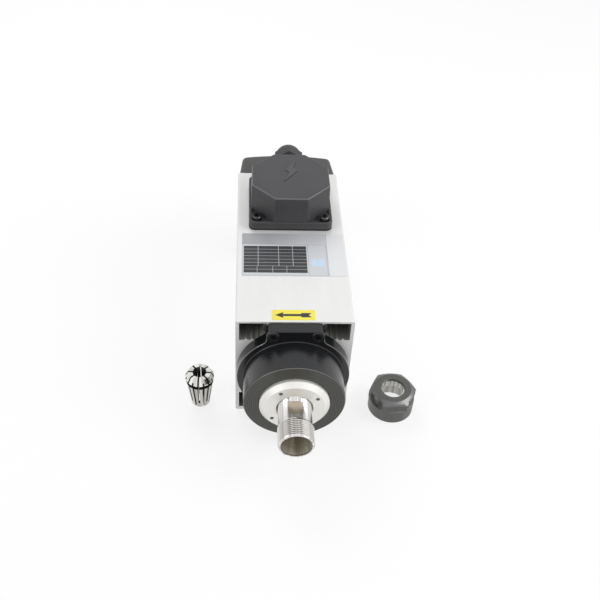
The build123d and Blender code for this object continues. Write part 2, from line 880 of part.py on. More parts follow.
with BuildPart() as fan_cover_screws:
    socket_screws(
        tail_station(cover_seat),
        cover_screw_points,
        (m4_screw[0], cover_screw_head_radius, cover_screw_head_height, m4_screw[3]),
        cover_seat - rear_face + cover_screw_hold,
    )
finish(fan_cover_screws, "fan_cover_screws")

# ---------------------------------------------------------------- terminal box
box_base = body_height + gasket_thickness
flange_top = body_height + box_flange_height
box_top = body_height + box_height
pocket_floor = flange_top - pocket_depth
hood_centre = (0, box_centre_y)
gland_wall_outside = box_centre_y + box_length / 2
gland_wall_inside = (
    box_centre_y + hood_across_flats / 2 - box_wall - box_height * tan(radians(hood_draft))
)
gland_eye_radius = gland_thread_radius + tap_gap

with BuildPart() as terminal_box_gasket:
    with BuildSketch(Plane.XY.offset(body_height)):
        with Locations(hood_centre):
            RectangleRounded(box_width, box_length, box_corner_radius)
            RectangleRounded(
                box_width - 4 * box_wall,
                box_length - 4 * box_wall,
                box_corner_radius,
                mode=Mode.SUBTRACT,
            )
        with Locations(*box_screw_points):
            Circle(m4_screw[0] + 2 * screw_clearance + 2.0)
            Circle(m4_screw[0] + 2 * screw_clearance, mode=Mode.SUBTRACT)
    extrude(amount=gasket_thickness)
finish(terminal_box_gasket, "terminal_box_gasket")


def octagon(level, across, height, draft, mode=Mode.ADD):
    """Drafted octagonal block standing on a level over the box centre."""
    with BuildSketch(Plane.XY.offset(level)) as foot:
        with Locations(hood_centre):
            RegularPolygon(across / 2, 8, major_radius=False, rotation=22.5)
    extrude(foot.sketch, amount=height, taper=draft, mode=mode)


with BuildPart() as terminal_box_hood:
    with BuildSketch(Plane.XY.offset(box_base)):
        with Locations(hood_centre):
            RectangleRounded(box_width, box_length, box_corner_radius)
    extrude(amount=flange_top - box_base)
    fillet(terminal_box_hood.faces().sort_by(Axis.Z)[-1].edges(), 0.8)
    octagon(box_base, hood_across_flats, box_top - box_base, hood_draft)
    fillet(terminal_box_hood.faces().sort_by(Axis.Z)[-1].edges(), hood_edge_radius)
    octagon(
        box_base,
        hood_across_flats - 2 * box_wall,
        box_top - box_base - box_wall,
        hood_draft,
        Mode.SUBTRACT,
    )
    # Sunk corners with the screw holes, inside a rim round the flange.
    with BuildSketch(Plane.XY.offset(pocket_floor)) as corners:
        with Locations(hood_centre):
            RectangleRounded(
                box_width - 2 * pocket_rim,
                box_length - 2 * pocket_rim,
                box_corner_radius - pocket_rim,
            )
            RegularPolygon(
                hood_across_flats / 2,
                8,
                major_radius=False,
                rotation=22.5,
                mode=Mode.SUBTRACT,
            )
    extrude(corners.sketch, amount=pocket_depth, mode=Mode.SUBTRACT)
    with Locations(Plane.XY.offset(pocket_floor)):
        with Locations(*box_screw_points):
            Hole(m4_screw[0] + screw_clearance, pocket_floor - box_base)
    # Upright boss with the threaded eye for the cable gland in the rear wall.
    for radius, mode in ((gland_boss_radius, Mode.ADD), (gland_eye_radius, Mode.SUBTRACT)):
        with BuildSketch(tail_station(gland_wall_inside)) as gland_boss:
            with Locations((0, gland_axis_up - axis_height)):
                Circle(radius)
        extrude(gland_boss.sketch, amount=gland_wall_outside - gland_wall_inside, mode=mode)
finish(terminal_box_hood, "terminal_box_hood")

with BuildPart() as terminal_box_screws:
    socket_screws(
        Plane.XY.offset(pocket_floor),
        box_screw_points,
        m4_screw,
        pocket_floor - body_height + 3 * top_wall,
    )
finish(terminal_box_screws, "terminal_box_screws")

block_length, block_depth, block_height = terminal_block_size
hood_inside = hood_across_flats / 2 - box_wall
block_reach = 2**0.5 * (hood_inside - terminal_block_gap) - block_length / 2
block_y = box_centre_y - block_reach + block_depth / 2
stud_points = [(n * stud_spacing, block_y) for n in (-1, 0, 1)]
with BuildPart() as terminal_block:
    with BuildSketch(Plane.XY.offset(body_height)):
        with Locations((0, block_y)):
            RectangleRounded(block_length, block_depth, 1.5)
    extrude(amount=block_height)
    # Barrier ribs between the three poles.
    with BuildSketch(Plane.XY.offset(body_height + block_height)) as barriers:
        for n in (-1.5, -0.5, 0.5, 1.5):
            with Locations((n * stud_spacing, block_y)):
                Rectangle(1.6, block_depth)
    extrude(barriers.sketch, amount=4.0)
    with Locations(Plane.XY.offset(body_height + block_height)):
        with Locations(*stud_points):
            Hole(stud_radius + tap_gap, stud_height - 1.0)
finish(terminal_block, "terminal_block")

with BuildPart() as terminal_studs:
    with BuildSketch(Plane.XY.offset(body_height + block_height - stud_height + 1.5)) as studs:
        with Locations(*stud_points):
            Circle(stud_radius)
    extrude(studs.sketch, amount=2 * stud_height - 3.0)
    with BuildSketch(Plane.XY.offset(body_height + block_height + lead_radius * 2)) as nuts:
        with Locations(*stud_points):
            RegularPolygon(stud_nut_across / 2, 6, major_radius=False, rotation=30)
    extrude(nuts.sketch, amount=stud_nut_height)
finish(terminal_studs, "terminal_studs")

with BuildPart() as earth_screw:
    earth_x, earth_y = earth_screw_place
    with BuildSketch(Plane.XY.offset(body_height)) as earth_head:
        with Locations((earth_x, box_centre_y + earth_y)):
            RegularPolygon(stud_nut_across / 2, 6, major_radius=False)
    extrude(earth_head.sketch, amount=stud_nut_height)
finish(earth_screw, "earth_screw")

# ---------------------------------------------------------------- leads to the terminals
with BuildPart() as phase_leads:
    lead_y = stack_rear + end_turn_length - 4.0
    lead_level = body_height + block_height + lead_radius
    for n, (stud_x, stud_y) in zip((-1, 0, 1), stud_points):
        start = (n * lead_spacing, lead_y, axis_height + end_turn_outer_radius + 0.3)
        with BuildLine() as route:
            FilletPolyline(
                start,
                (n * lead_spacing, lead_y, lead_level),
                (stud_x, stud_y + stud_radius + 1.0, lead_level),
                radius=2.5 * lead_radius,
            )
        with BuildSketch(Plane(origin=start, z_dir=(0, 0, 1))) as wire:
            Circle(lead_radius)
        sweep(wire.sketch, path=route.line)
finish(phase_leads, "phase_leads")

# ---------------------------------------------------------------- cable gland
gland_seat = gland_wall_outside + fit_gap
collar_start = gland_seat + gland_flange_width
collar_end = collar_start + gland_collar_length
gland_tail = gland_wall_inside - gland_locknut_width - 2.0
gland_line = Axis((0, 0, gland_axis_up), (0, 1, 0))


def gland_station(along):
    """Section plane across the gland; its normal points away from the box."""
    return Plane(origin=(0, along, gland_axis_up), x_dir=(-1, 0, 0), z_dir=(0, 1, 0))


def gland_disc(start, end, radius, mode=Mode.ADD):
    """A plain cylinder on the gland line."""
    with BuildSketch(gland_station(start)) as disc:
        Circle(radius)
    extrude(disc.sketch, amount=end - start, mode=mode)


def gland_hexagon(start, end, across, mode=Mode.ADD):
    """A hexagonal block on the gland line with one corner upwards."""
    with BuildSketch(gland_station(start)) as hexagon:
        RegularPolygon(across / 2, 6, major_radius=False, rotation=30)
    extrude(hexagon.sketch, amount=end - start, mode=mode)


with BuildPart() as gland_body:
    gland_disc(gland_tail, collar_end, gland_thread_radius)
    gland_hexagon(gland_seat, collar_start, gland_flange_across)
    gland_disc(gland_tail, collar_end, gland_bore_radius, Mode.SUBTRACT)
finish(gland_body, "gland_body")

with BuildPart() as gland_locknut:
    locknut_end = gland_wall_inside - fit_gap
    gland_hexagon(locknut_end - gland_locknut_width, locknut_end, gland_locknut_across)
    gland_disc(gland_tail, locknut_end, gland_eye_radius, Mode.SUBTRACT)
finish(gland_locknut, "gland_locknut")

cap_start = collar_start + running_gap
hex_end = cap_start + gland_nut_hex_length
cap_end = hex_end + gland_nut_dome_length
cap_radius = gland_nut_across / 2
with BuildPart() as gland_cap_nut:
    gland_hexagon(cap_start, hex_end, gland_nut_across)
    with BuildSketch(Plane(origin=(0, 0, gland_axis_up), x_dir=(0, 1, 0), z_dir=(1, 0, 0))):
        with BuildLine():
            Line((hex_end, 0), (hex_end, cap_radius))
            RadiusArc((hex_end, cap_radius), (cap_end, gland_nut_mouth_radius + 1.2),
                      gland_nut_dome_length * 1.4)
            Line((cap_end, gland_nut_mouth_radius + 1.2), (cap_end, 0))
            Line((cap_end, 0), (hex_end, 0))
        make_face()
    revolve(axis=gland_line)
    gland_disc(cap_start, collar_end + 1.0, gland_thread_radius + running_gap, Mode.SUBTRACT)
    gland_disc(collar_end, cap_end, gland_nut_mouth_radius, Mode.SUBTRACT)
finish(gland_cap_nut, "gland_cap_nut")

with BuildPart() as gland_seal:
    seal_end = collar_end + 1.0
    gland_disc(collar_start + 1.0, collar_end, gland_bore_radius - fit_gap)
    gland_disc(collar_end, seal_end + 3.0, gland_nut_mouth_radius - 0.3)
    gland_disc(collar_start, cap_end, gland_seal_bore, Mode.SUBTRACT)
finish(gland_seal, "gland_seal")

# ---------------------------------------------------------------- plate and label
arrow_label_place = (arrow_label_x, front_face + arrow_label_inset)
for name, size, place, thickness in (
    ("name_plate", name_plate_size, name_plate_place, name_plate_thickness),
    ("rotation_label", arrow_label_size, arrow_label_place, arrow_label_thickness),
):
    with BuildPart() as foil:
        with BuildSketch(Plane.XY.offset(body_height)):
            with Locations(place):
                RectangleRounded(size[0], size[1], 0.8)
        extrude(amount=thickness)
    finish(foil, name)

# ---------------------------------------------------------------- ER20 collet
collet_x, collet_y = collet_place
cone_rise = tan(radians(taper_half_angle))
head_start = collet_groove_bottom + collet_groove_width
band_end = head_start + collet_head_band
face_fall = (collet_length - band_end) * tan(radians(collet_face_angle))
with BuildPart() as collet:
    upright(
        collet_x,
        collet_y,
        [
            (collet_bore_radius, 0),
            (collet_small_radius, 0),
            (collet_small_radius + collet_groove_bottom * cone_rise, collet_groove_bottom),
            (collet_groove_radius, collet_groove_bottom),
            (collet_groove_radius, head_start),
            (collet_head_radius, head_start),
            (collet_head_radius, band_end),
            (collet_head_radius - face_fall, collet_length),
            (collet_bore_radius, collet_length),
        ],
    )
    # Slots alternate: one set is open at the face, the other at the small end.
    for level, top, phase in (
        (collet_slot_end, collet_length, 0.0),
        (0.0, collet_length - collet_face_web, 0.5),
    ):
        with BuildSketch(Plane.XY.offset(level)) as slots:
            with Locations(collet_place):
                with PolarLocations(
                    collet_head_radius, collet_slot_count, phase * 360 / collet_slot_count
                ):
                    Rectangle(2 * (collet_head_radius - 2.0), collet_slot_width)
        extrude(slots.sketch, amount=top - level, mode=Mode.SUBTRACT)
finish(collet, "collet")

# ---------------------------------------------------------------- clamping nut
nut_x, nut_y = nut_place
groove_top = nut_thread_depth + nut_ring_groove_height
lip_start = nut_height - nut_lip_thickness
nut_corner_radius = nut_across_flats / 3**0.5
with BuildPart() as collet_nut:
    upright(
        nut_x,
        nut_y,
        [
            (thread_radius + nut_thread_gap + 0.6, 0),
            (nut_radius - 0.6, 0),
            (nut_radius, 0.6),
            (nut_radius, nut_skirt_height),
            (nut_corner_radius, nut_skirt_height + nut_ledge_height),
            (nut_corner_radius, nut_height - nut_top_slope),
            (nut_top_radius, nut_height),
            (nut_lip_radius + 0.4, nut_height),
            (nut_lip_radius, nut_height - 0.4),
            (nut_lip_radius, lip_start),
            (nut_mouth_radius, lip_start),
            (nut_mouth_radius, groove_top),
            (nut_ring_groove_radius, groove_top),
            (nut_ring_groove_radius, nut_thread_depth),
            (thread_radius + nut_thread_gap, nut_thread_depth),
            (thread_radius + nut_thread_gap, 0.6),
        ],
    )
    # Six wrench flats above the round skirt, with a sloped ledge under each.
    with BuildSketch(Plane.XY.offset(nut_skirt_height)) as flats:
        with Locations(nut_place):
            Circle(nut_corner_radius + 1.0)
            RegularPolygon(
                nut_across_flats / 2,
                6,
                major_radius=False,
                rotation=nut_turn,
                mode=Mode.SUBTRACT,
            )
    extrude(flats.sketch, amount=nut_height, mode=Mode.SUBTRACT)
    upright(
        nut_x,
        nut_y,
        [
            (nut_ring_groove_radius + 0.5, nut_skirt_height),
            (nut_radius, nut_skirt_height),
            (nut_across_flats / 2 - 0.1, nut_skirt_height + nut_ledge_height),
            (nut_ring_groove_radius + 0.5, nut_skirt_height + nut_ledge_height),
        ],
    )
finish(collet_nut, "collet_nut")

# The ring's cone bears on the collet's face; its groove is snapped in from below.
ring_foot = nut_thread_depth + 0.3
cone_top = ring_foot + nut_ring_cone / tan(radians(collet_face_angle))
with BuildPart() as collet_nut_ring:
    upright(
        nut_x,
        nut_y,
        [
            (nut_ring_bore_radius + nut_ring_cone, ring_foot),
            (nut_ring_groove_radius - fit_gap, ring_foot),
            (nut_ring_groove_radius - fit_gap, groove_top - 0.3),
            (nut_mouth_radius - fit_gap, groove_top - 0.3),
            (nut_mouth_radius - fit_gap, lip_start - fit_gap),
            (nut_ring_bore_radius, lip_start - fit_gap),
            (nut_ring_bore_radius, cone_top),
        ],
    )
finish(collet_nut_ring, "collet_nut_ring")
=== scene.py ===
import json
from math import cos, hypot, pi, radians, sin

import bmesh
import bpy
from mathutils import Matrix, Vector


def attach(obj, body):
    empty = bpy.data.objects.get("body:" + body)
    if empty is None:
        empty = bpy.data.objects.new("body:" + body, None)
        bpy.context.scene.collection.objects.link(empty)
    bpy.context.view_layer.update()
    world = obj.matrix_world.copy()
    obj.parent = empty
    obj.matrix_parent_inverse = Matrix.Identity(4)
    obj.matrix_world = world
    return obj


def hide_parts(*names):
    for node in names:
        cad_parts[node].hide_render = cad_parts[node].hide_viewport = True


# Looks for an air-cooled motor spindle that stands on its underside, with its collet and
# clamping nut beside the nose.  Metres; the spindle axis runs along Y, the nose to -Y.

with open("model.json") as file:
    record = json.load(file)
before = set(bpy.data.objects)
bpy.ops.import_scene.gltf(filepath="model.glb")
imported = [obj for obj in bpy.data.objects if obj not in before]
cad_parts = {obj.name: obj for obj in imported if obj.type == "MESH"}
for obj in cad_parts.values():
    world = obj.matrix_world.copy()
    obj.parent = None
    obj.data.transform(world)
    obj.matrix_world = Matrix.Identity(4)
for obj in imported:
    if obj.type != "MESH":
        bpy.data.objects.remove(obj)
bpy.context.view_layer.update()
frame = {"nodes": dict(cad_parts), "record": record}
nodes = frame["nodes"]

MM = 0.001
AXIS_HEIGHT = 46 * MM
BODY_TOP = 92 * MM

# ---------------------------------------------------------------- camera
CAMERA_PLACE = Vector((-34.294, -493.830, 492.056)) * MM
CAMERA_PITCH = radians(42.965)
CAMERA_YAW = radians(5.1006)
CAMERA_ROLL = radians(3.9042)
# Focal length and image width are in pixels, the sensor in millimetres.
FOCAL_LENGTH = 838.2
IMAGE_WIDTH = 600
SENSOR_WIDTH = 36.0
CLIP_START = 0.01
CLIP_END = 20


def place_camera():
    """Camera that looks down on the nose from in front, a little from the left."""
    data = bpy.data.cameras.new("camera")
    camera = bpy.data.objects.new("camera", data)
    bpy.context.scene.collection.objects.link(camera)
    forward = Vector(
        (
            sin(CAMERA_YAW) * cos(CAMERA_PITCH),
            cos(CAMERA_YAW) * cos(CAMERA_PITCH),
            -sin(CAMERA_PITCH),
        )
    )
    level = Vector((cos(CAMERA_YAW), -sin(CAMERA_YAW), 0))
    upward = level.cross(forward)
    across = cos(CAMERA_ROLL) * level + sin(CAMERA_ROLL) * upward
    top = cos(CAMERA_ROLL) * upward - sin(CAMERA_ROLL) * level
    turn = Matrix((across, top, -forward)).transposed().to_4x4()
    camera.matrix_world = Matrix.Translation(CAMERA_PLACE) @ turn
    data.sensor_width = SENSOR_WIDTH
    data.lens = FOCAL_LENGTH * SENSOR_WIDTH / IMAGE_WIDTH
    data.clip_start = CLIP_START
    data.clip_end = CLIP_END
    bpy.context.scene.camera = camera


place_camera()
bpy.context.scene.view_settings.view_transform = "Standard"

# ---------------------------------------------------------------- nodes and colours
WHITE = (1, 1, 1, 1)


def linear(colour):
    """Linear RGBA from an sRGB hex colour."""
    channels = [int(colour[n : n + 2], 16) / 255 for n in (1, 3, 5)]
    return tuple(
        c / 12.92 if c <= 0.04045 else ((c + 0.055) / 1.055) ** 2.4 for c in channels
    ) + (1.0,)


def add_node(tree, kind, settings=None, **inputs):
    """Adds a shader node, sets its properties, and fills or links its inputs."""
    node = tree.nodes.new(kind)
    for name, value in (settings or {}).items():
        setattr(node, name, value)
    for name, value in inputs.items():
        key = int(name[1:]) if name[1:].isdigit() else name.replace("_", " ")
        socket = node.inputs[key]
        if isinstance(value, bpy.types.NodeSocket):
            tree.links.new(value, socket)
        else:
            socket.default_value = value
    return node


def new_material(name):
    """An empty node material, with its tree."""
    material = bpy.data.materials.new(name)
    material.use_nodes = True
    material.node_tree.nodes.clear()
    return material, material.node_tree


def near(tree, value, place, reach):
    """1 within reach of a place, else 0."""
    return add_node(
        tree, "ShaderNodeMath", {"operation": "COMPARE"}, _0=value, _1=place, _2=reach
    ).outputs[0]


def between(tree, value, low, high):
    """1 where a value lies between two others, else 0."""
    return near(tree, value, (low + high) / 2, (high - low) / 2)


def below(tree, value, limit):
    """1 where a value is under a limit, else 0."""
    return add_node(
        tree, "ShaderNodeMath", {"operation": "LESS_THAN"}, _0=value, _1=limit
    ).outputs[0]


def above(tree, value, limit):
    """1 where a value is over a limit, else 0."""
    return add_node(
        tree, "ShaderNodeMath", {"operation": "GREATER_THAN"}, _0=value, _1=limit
    ).outputs[0]


def every(tree, *masks):
    """Full only where all the masks are full: their product, which a number can weaken."""
    whole = masks[0]
    for mask in masks[1:]:
        whole = add_node(
            tree, "ShaderNodeMath", {"operation": "MULTIPLY"}, _0=whole, _1=mask
        ).outputs[0]
    return whole


def either(tree, *masks):
    """The strongest of several masks."""
    strongest = masks[0]
    for mask in masks[1:]:
        strongest = add_node(
            tree, "ShaderNodeMath", {"operation": "MAXIMUM"}, _0=strongest, _1=mask
        ).outputs[0]
    return strongest


def outside(tree, mask):
    """What a mask leaves: 0 where it is 1."""
    return add_node(
        tree, "ShaderNodeMath", {"operation": "SUBTRACT"}, _0=1.0, _1=mask
    ).outputs[0]


def off_centre(tree, value):
    """How far a value is from 0, to either side."""
    return add_node(tree, "ShaderNodeMath", {"operation": "ABSOLUTE"}, _0=value).outputs[0]


def blend(tree, share, under, over):
    """Mixes two colours, given as sockets, linear colours or sRGB hex colours."""
    colours = [linear(c) if isinstance(c, str) else c for c in (under, over)]
    return add_node(
        tree,
        "ShaderNodeMix",
        {"data_type": "RGBA"},
        _0=share,
        _6=colours[0],
        _7=colours[1],
    ).outputs[2]


# ---------------------------------------------------------------- stage and light
SKY_STRENGTH = 0.42
FLOOR_GLOW = 0.78
FLOOR_BOUNCE = (0.55, 0.55, 0.55, 1)
FLOOR_REACH = 4.0


def build_sky():
    """Soft light from all round, seen as plain white directly and in reflections."""
    world = bpy.data.worlds.new("sky")
    bpy.context.scene.world = world
    world.use_nodes = True
    tree = world.node_tree
    tree.nodes.clear()
    rays = add_node(tree, "ShaderNodeLightPath").outputs
    seen = either(
        tree, rays["Is Glossy Ray"], rays["Is Transmission Ray"], rays["Is Camera Ray"]
    )
    light = add_node(tree, "ShaderNodeBackground", Color=WHITE, Strength=SKY_STRENGTH)
    white = add_node(tree, "ShaderNodeBackground", Color=WHITE, Strength=1.0)
    mix = add_node(
        tree, "ShaderNodeMixShader", _0=seen, _1=light.outputs[0], _2=white.outputs[0]
    )
    add_node(tree, "ShaderNodeOutputWorld", Surface=mix.outputs[0])


def build_floor():
    """Pale floor that stays near white to the eye and still takes the soft shadows."""
    material, tree = new_material("pale_floor")
    rays = add_node(tree, "ShaderNodeLightPath").outputs
    eye = rays["Is Camera Ray"]
    seen = either(
        tree, every(tree, eye, FLOOR_GLOW), rays["Is Glossy Ray"], rays["Is Transmission Ray"]
    )
    matt = add_node(
        tree, "ShaderNodeBsdfDiffuse", Color=blend(tree, eye, FLOOR_BOUNCE, WHITE)
    )
    glow = add_node(tree, "ShaderNodeEmission", Color=WHITE, Strength=1.0)
    mix = add_node(tree, "ShaderNodeMixShader", _0=seen, _1=matt.outputs[0], _2=glow.outputs[0])
    add_node(tree, "ShaderNodeOutputMaterial", Surface=mix.outputs[0])
    bm = bmesh.new()
    bmesh.ops.create_grid(bm, x_segments=1, y_segments=1, size=FLOOR_REACH)
    mesh = bpy.data.meshes.new("floor")
    bm.to_mesh(mesh)
    bm.free()
    mesh.materials.append(material)
    floor = bpy.data.objects.new("floor", mesh)
    bpy.context.scene.collection.objects.link(floor)


# Name, place, size, power, and whether glossy surfaces mirror it.
SOFTBOXES = (
    ("softbox_key", (0.95, -0.2, 0.85), 0.7, 7.6, True),
    ("softbox_rear", (-0.35, 0.75, 1.05), 0.7, 5.4, False),
    ("softbox_fill", (-0.9, -0.5, 0.65), 0.6, 2.8, True),
)
LIGHT_TARGET = Vector((0, -0.02, 0.05))


def build_lights():
    """Large soft lamps at the right, at the rear and at the left, aimed at the object."""
    for name, place, size, power, mirrored in SOFTBOXES:
        data = bpy.data.lights.new(name, "AREA")
        data.shape = "SQUARE"
        data.size = size
        data.energy = power
        lamp = bpy.data.objects.new(name, data)
        lamp.visible_glossy = mirrored
        bpy.context.scene.collection.objects.link(lamp)
        aim = LIGHT_TARGET - Vector(place)
        turn = aim.to_track_quat("-Z", "Y").to_matrix().to_4x4()
        lamp.matrix_world = Matrix.Translation(Vector(place)) @ turn


build_sky()
build_floor()
build_lights()

# ---------------------------------------------------------------- patterns
# An axis is a point on it, and the number of the coordinate that runs along it.
SPINDLE_AXIS = ((0, 0, AXIS_HEIGHT), 1)
COLLET_AXIS = ((-67.4 * MM, -79.2 * MM, 0), 2)
NUT_AXIS = ((76.4 * MM, -84.9 * MM, 0), 2)
# Noise seldom leaves the middle of its range, so this much of it is used.
NOISE_LOW = 0.3
NOISE_HIGH = 0.7


def millimetres(tree, centre=(0, 0, 0)):
    """Object coordinates in millimetres, measured from a centre."""
    place = add_node(tree, "ShaderNodeTexCoord")
    return add_node(
        tree,
        "ShaderNodeMapping",
        Vector=place.outputs["Object"],
        Location=tuple(-c / MM for c in centre),
        Scale=(1 / MM,) * 3,
    ).outputs[0]


def coordinates(tree, centre=(0, 0, 0)):
    """The three object coordinates in millimetres, each as a socket."""
    return add_node(tree, "ShaderNodeSeparateXYZ", _0=millimetres(tree, centre)).outputs


def ramp(tree, value, start, end, low=0.0, high=1.0):
    """Runs from low to high while a value runs from start to end."""
    return add_node(
        tree,
        "ShaderNodeMapRange",
        Value=value,
        From_Min=start,
        From_Max=end,
        To_Min=low,
        To_Max=high,
    ).outputs[0]


def round_axis(tree, axis):
    """Vector square to the axis, distance from it and place along it, in mm."""
    centre, along = axis
    spot = millimetres(tree, centre)
    across = tuple(0.0 if n == along else 1.0 for n in range(3))
    flat = add_node(tree, "ShaderNodeVectorMath", {"operation": "MULTIPLY"}, _0=spot, _1=across)
    reach = add_node(tree, "ShaderNodeVectorMath", {"operation": "LENGTH"}, _0=flat.outputs[0])
    parts = add_node(tree, "ShaderNodeSeparateXYZ", _0=spot)
    return flat.outputs[0], reach.outputs["Value"], parts.outputs[along]


def tool_marks(tree, axis, feed):
    """Uneven bands that stay constant along each mark of a turning tool; feed in mm.

    A real feed of about 0.1 mm is too fine to show, so it is drawn a few times coarser.
    """
    _, reach, along = round_axis(tree, axis)
    travel = add_node(tree, "ShaderNodeMath", {"operation": "ADD"}, _0=reach, _1=along)
    return add_node(
        tree,
        "ShaderNodeTexNoise",
        {"noise_dimensions": "1D"},
        W=travel.outputs[0],
        Scale=1 / feed,
        Detail=3.0,
        Roughness=0.6,
    ).outputs[0]


def reflection_streaks(tree, axis, scale):
    """Lengthwise stripes of painted reflection, even along the axis and uneven round it."""
    flat, _, _ = round_axis(tree, axis)
    way = add_node(tree, "ShaderNodeVectorMath", {"operation": "NORMALIZE"}, _0=flat)
    return add_node(
        tree,
        "ShaderNodeTexNoise",
        Vector=way.outputs[0],
        Scale=scale,
        Detail=3.0,
        Roughness=0.55,
    ).outputs[0]


def spread(tree, value, low, high):
    """Turns a noise pattern into values between low and high."""
    return ramp(tree, value, NOISE_LOW, NOISE_HIGH, low, high)


def shade(tree, value, dark, light):
    """Turns a noise pattern into colours between two sRGB hex colours."""
    return blend(tree, spread(tree, value, 0.0, 1.0), dark, light)


def relief(tree, height, depth):
    """Bump from a pattern, with its depth in mm."""
    return add_node(
        tree, "ShaderNodeBump", Strength=1.0, Distance=depth * MM, Height=height
    ).outputs[0]


def coat(tree, colour, roughness, normal, metallic, specular=0.5):
    """Closes a material with one principled surface."""
    surface = add_node(
        tree,
        "ShaderNodeBsdfPrincipled",
        Base_Color=colour,
        Metallic=metallic,
        Roughness=roughness,
        Specular_IOR_Level=specular,
        Normal=normal,
    )
    add_node(tree, "ShaderNodeOutputMaterial", Surface=surface.outputs[0])


# ---------------------------------------------------------------- kinds of finish
GRAIN_SPECULAR = 0.35
GRAIN_TO_CLOUD = 40


def turned(name, dark, light, axis, feed, roughness, depth=0.004, metallic=1.0):
    """Turned or ground metal: fine rings round the axis, brighter and duller by turns."""
    material, tree = new_material(name)
    marks = tool_marks(tree, axis, feed)
    rough = spread(tree, marks, roughness * 0.8, roughness * 1.25)
    coat(tree, shade(tree, marks, dark, light), rough, relief(tree, marks, depth), metallic)
    return material


def grained(
    name, dark, light, grain, roughness, depth, metallic=0.0, stretch=(1, 1, 1), places=None
):
    """Moulded, cast or blasted surface: an even grain of one size in mm, and broad clouds.

    A real grain of about 0.1 mm is too fine to show, so it is drawn a few times coarser.
    places gives pairs of a mask and a colour for spots that differ from the rest.
    """
    material, tree = new_material(name)
    spot = add_node(
        tree,
        "ShaderNodeVectorMath",
        {"operation": "MULTIPLY"},
        _0=millimetres(tree),
        _1=stretch,
    ).outputs[0]
    fine, broad = (
        add_node(
            tree, "ShaderNodeTexNoise", Vector=spot, Scale=1 / size, Detail=4.0, Roughness=0.6
        ).outputs[0]
        for size in (grain, GRAIN_TO_CLOUD * grain)
    )
    colour = shade(tree, broad, dark, light)
    for mask, other in places(tree) if places else ():
        colour = blend(tree, mask, colour, other)
    rough = spread(tree, broad, roughness * 0.92, roughness * 1.08)
    coat(tree, colour, rough, relief(tree, fine, depth), metallic, GRAIN_SPECULAR)
    return material


def laminated(name, dark, light, sheet):
    """Stack of punched steel sheets: thin lines across the axis, one per sheet."""
    material, tree = new_material(name)
    turns = add_node(
        tree,
        "ShaderNodeMath",
        {"operation": "MULTIPLY"},
        _0=coordinates(tree)[1],
        _1=2 * pi / sheet,
    )
    wave = add_node(tree, "ShaderNodeMath", {"operation": "SINE"}, _0=turns.outputs[0])
    edge = spread(tree, wave.outputs[0], 0.0, 1.0)
    coat(tree, shade(tree, edge, dark, light), 0.45, relief(tree, edge, 0.05), 1.0)
    return material


# ---------------------------------------------------------------- marks on single pieces
# From here to the table of finishes, sizes and places are in millimetres.
BODY_HALF_LENGTH = 88.0
HOLLOW_HALF_WIDTH = 38.6
HOLLOW_FLOOR = 3.2
HOLLOW_ROOF = 90.6
HOLLOW_LIT_DEPTH = 5.0
HOLLOW_DARK_DEPTH = 32.0
BOSS_ASIDE = (19.6, 22.2)
BOSS_LEVEL = (79.0, 90.4)


def channel_shade(tree):
    """The hollows of the extrusion in painted shade: greyer than the outside, painted darker with
    depth, and painted shadow on the boss ends.
    """
    x, y, z = coordinates(tree)
    within = BODY_HALF_LENGTH - 0.05
    inside = every(
        tree,
        between(tree, x, -HOLLOW_HALF_WIDTH, HOLLOW_HALF_WIDTH),
        between(tree, y, -within, within),
        between(tree, z, HOLLOW_FLOOR, HOLLOW_ROOF),
    )
    deep = ramp(
        tree,
        off_centre(tree, y),
        BODY_HALF_LENGTH - HOLLOW_LIT_DEPTH,
        BODY_HALF_LENGTH - HOLLOW_DARK_DEPTH,
    )
    boss_end_shadow = every(
        tree,
        between(tree, off_centre(tree, x), *BOSS_ASIDE),
        between(tree, z, *BOSS_LEVEL),
        near(tree, y, -BODY_HALF_LENGTH, 0.1),
    )
    # Painted shade inside the hollows, deepening to near black further in, and painted shadow on
    # the boss ends beside the tab.
    yield inside, "#A9ABA6"
    yield every(tree, inside, deep), "#161815"
    yield boss_end_shadow, "#4B4D4A"


HOOD_EDGE_LEVEL = (120.0, 120.98)
BOLT_CREST = 121.36


def hood_edge_highlight(tree):
    """The rounded top edge of the hood, painted paler as a painted highlight."""
    z = coordinates(tree)[2]
    yield every(tree, between(tree, z, *HOOD_EDGE_LEVEL), 0.5), "#8C8D8F"


def bolt_flank_shade(tree):
    """The steep sides of the raised bolt, painted darker as painted shade."""
    z = coordinates(tree)[2]
    yield below(tree, z, BOLT_CREST), "#27272A"


NOSE_FACE = -120.6
NOSE_RIM = (-120.66, -120.3)
FLANGE_CHAMFER = (-96.77, -96.5)
FLANGE_HALF_HEIGHT = 44.3


def black_anodised(name):
    """Black anodised turned aluminium with fine rings: a painted highlight on its sharp edges, and
    its front face painted lighter and warmer as painted sheen.
    """
    material, tree = new_material(name)
    _, _, along = round_axis(tree, SPINDLE_AXIS)
    level = coordinates(tree, SPINDLE_AXIS[0])[2]
    marks = tool_marks(tree, SPINDLE_AXIS, 0.5)
    side = shade(tree, marks, "#131417", "#1B1C1F")
    face = shade(tree, marks, "#30322D", "#4D4E46")
    chamfer = every(
        tree,
        between(tree, along, *FLANGE_CHAMFER),
        between(tree, level, -FLANGE_HALF_HEIGHT, FLANGE_HALF_HEIGHT),
    )
    edges = either(tree, chamfer, between(tree, along, *NOSE_RIM))
    anodised_edge_highlight = every(tree, edges, spread(tree, marks, 0.15, 0.8))
    # Painted sheen: the front face is painted lighter and warmer than the sides. Painted highlight:
    # the chamfer and the nose rim are painted pale and metallic.
    colour = blend(tree, below(tree, along, NOSE_FACE), side, face)
    colour = blend(tree, anodised_edge_highlight, colour, "#A4A4A0")
    coat(tree, colour, spread(tree, marks, 0.2, 0.3), relief(tree, marks, 0.003), anodised_edge_highlight)
    return material


PIN_HOLE_FLOOR = -125.95
PIN_HOLE_BAND = (16.6, 20.2)


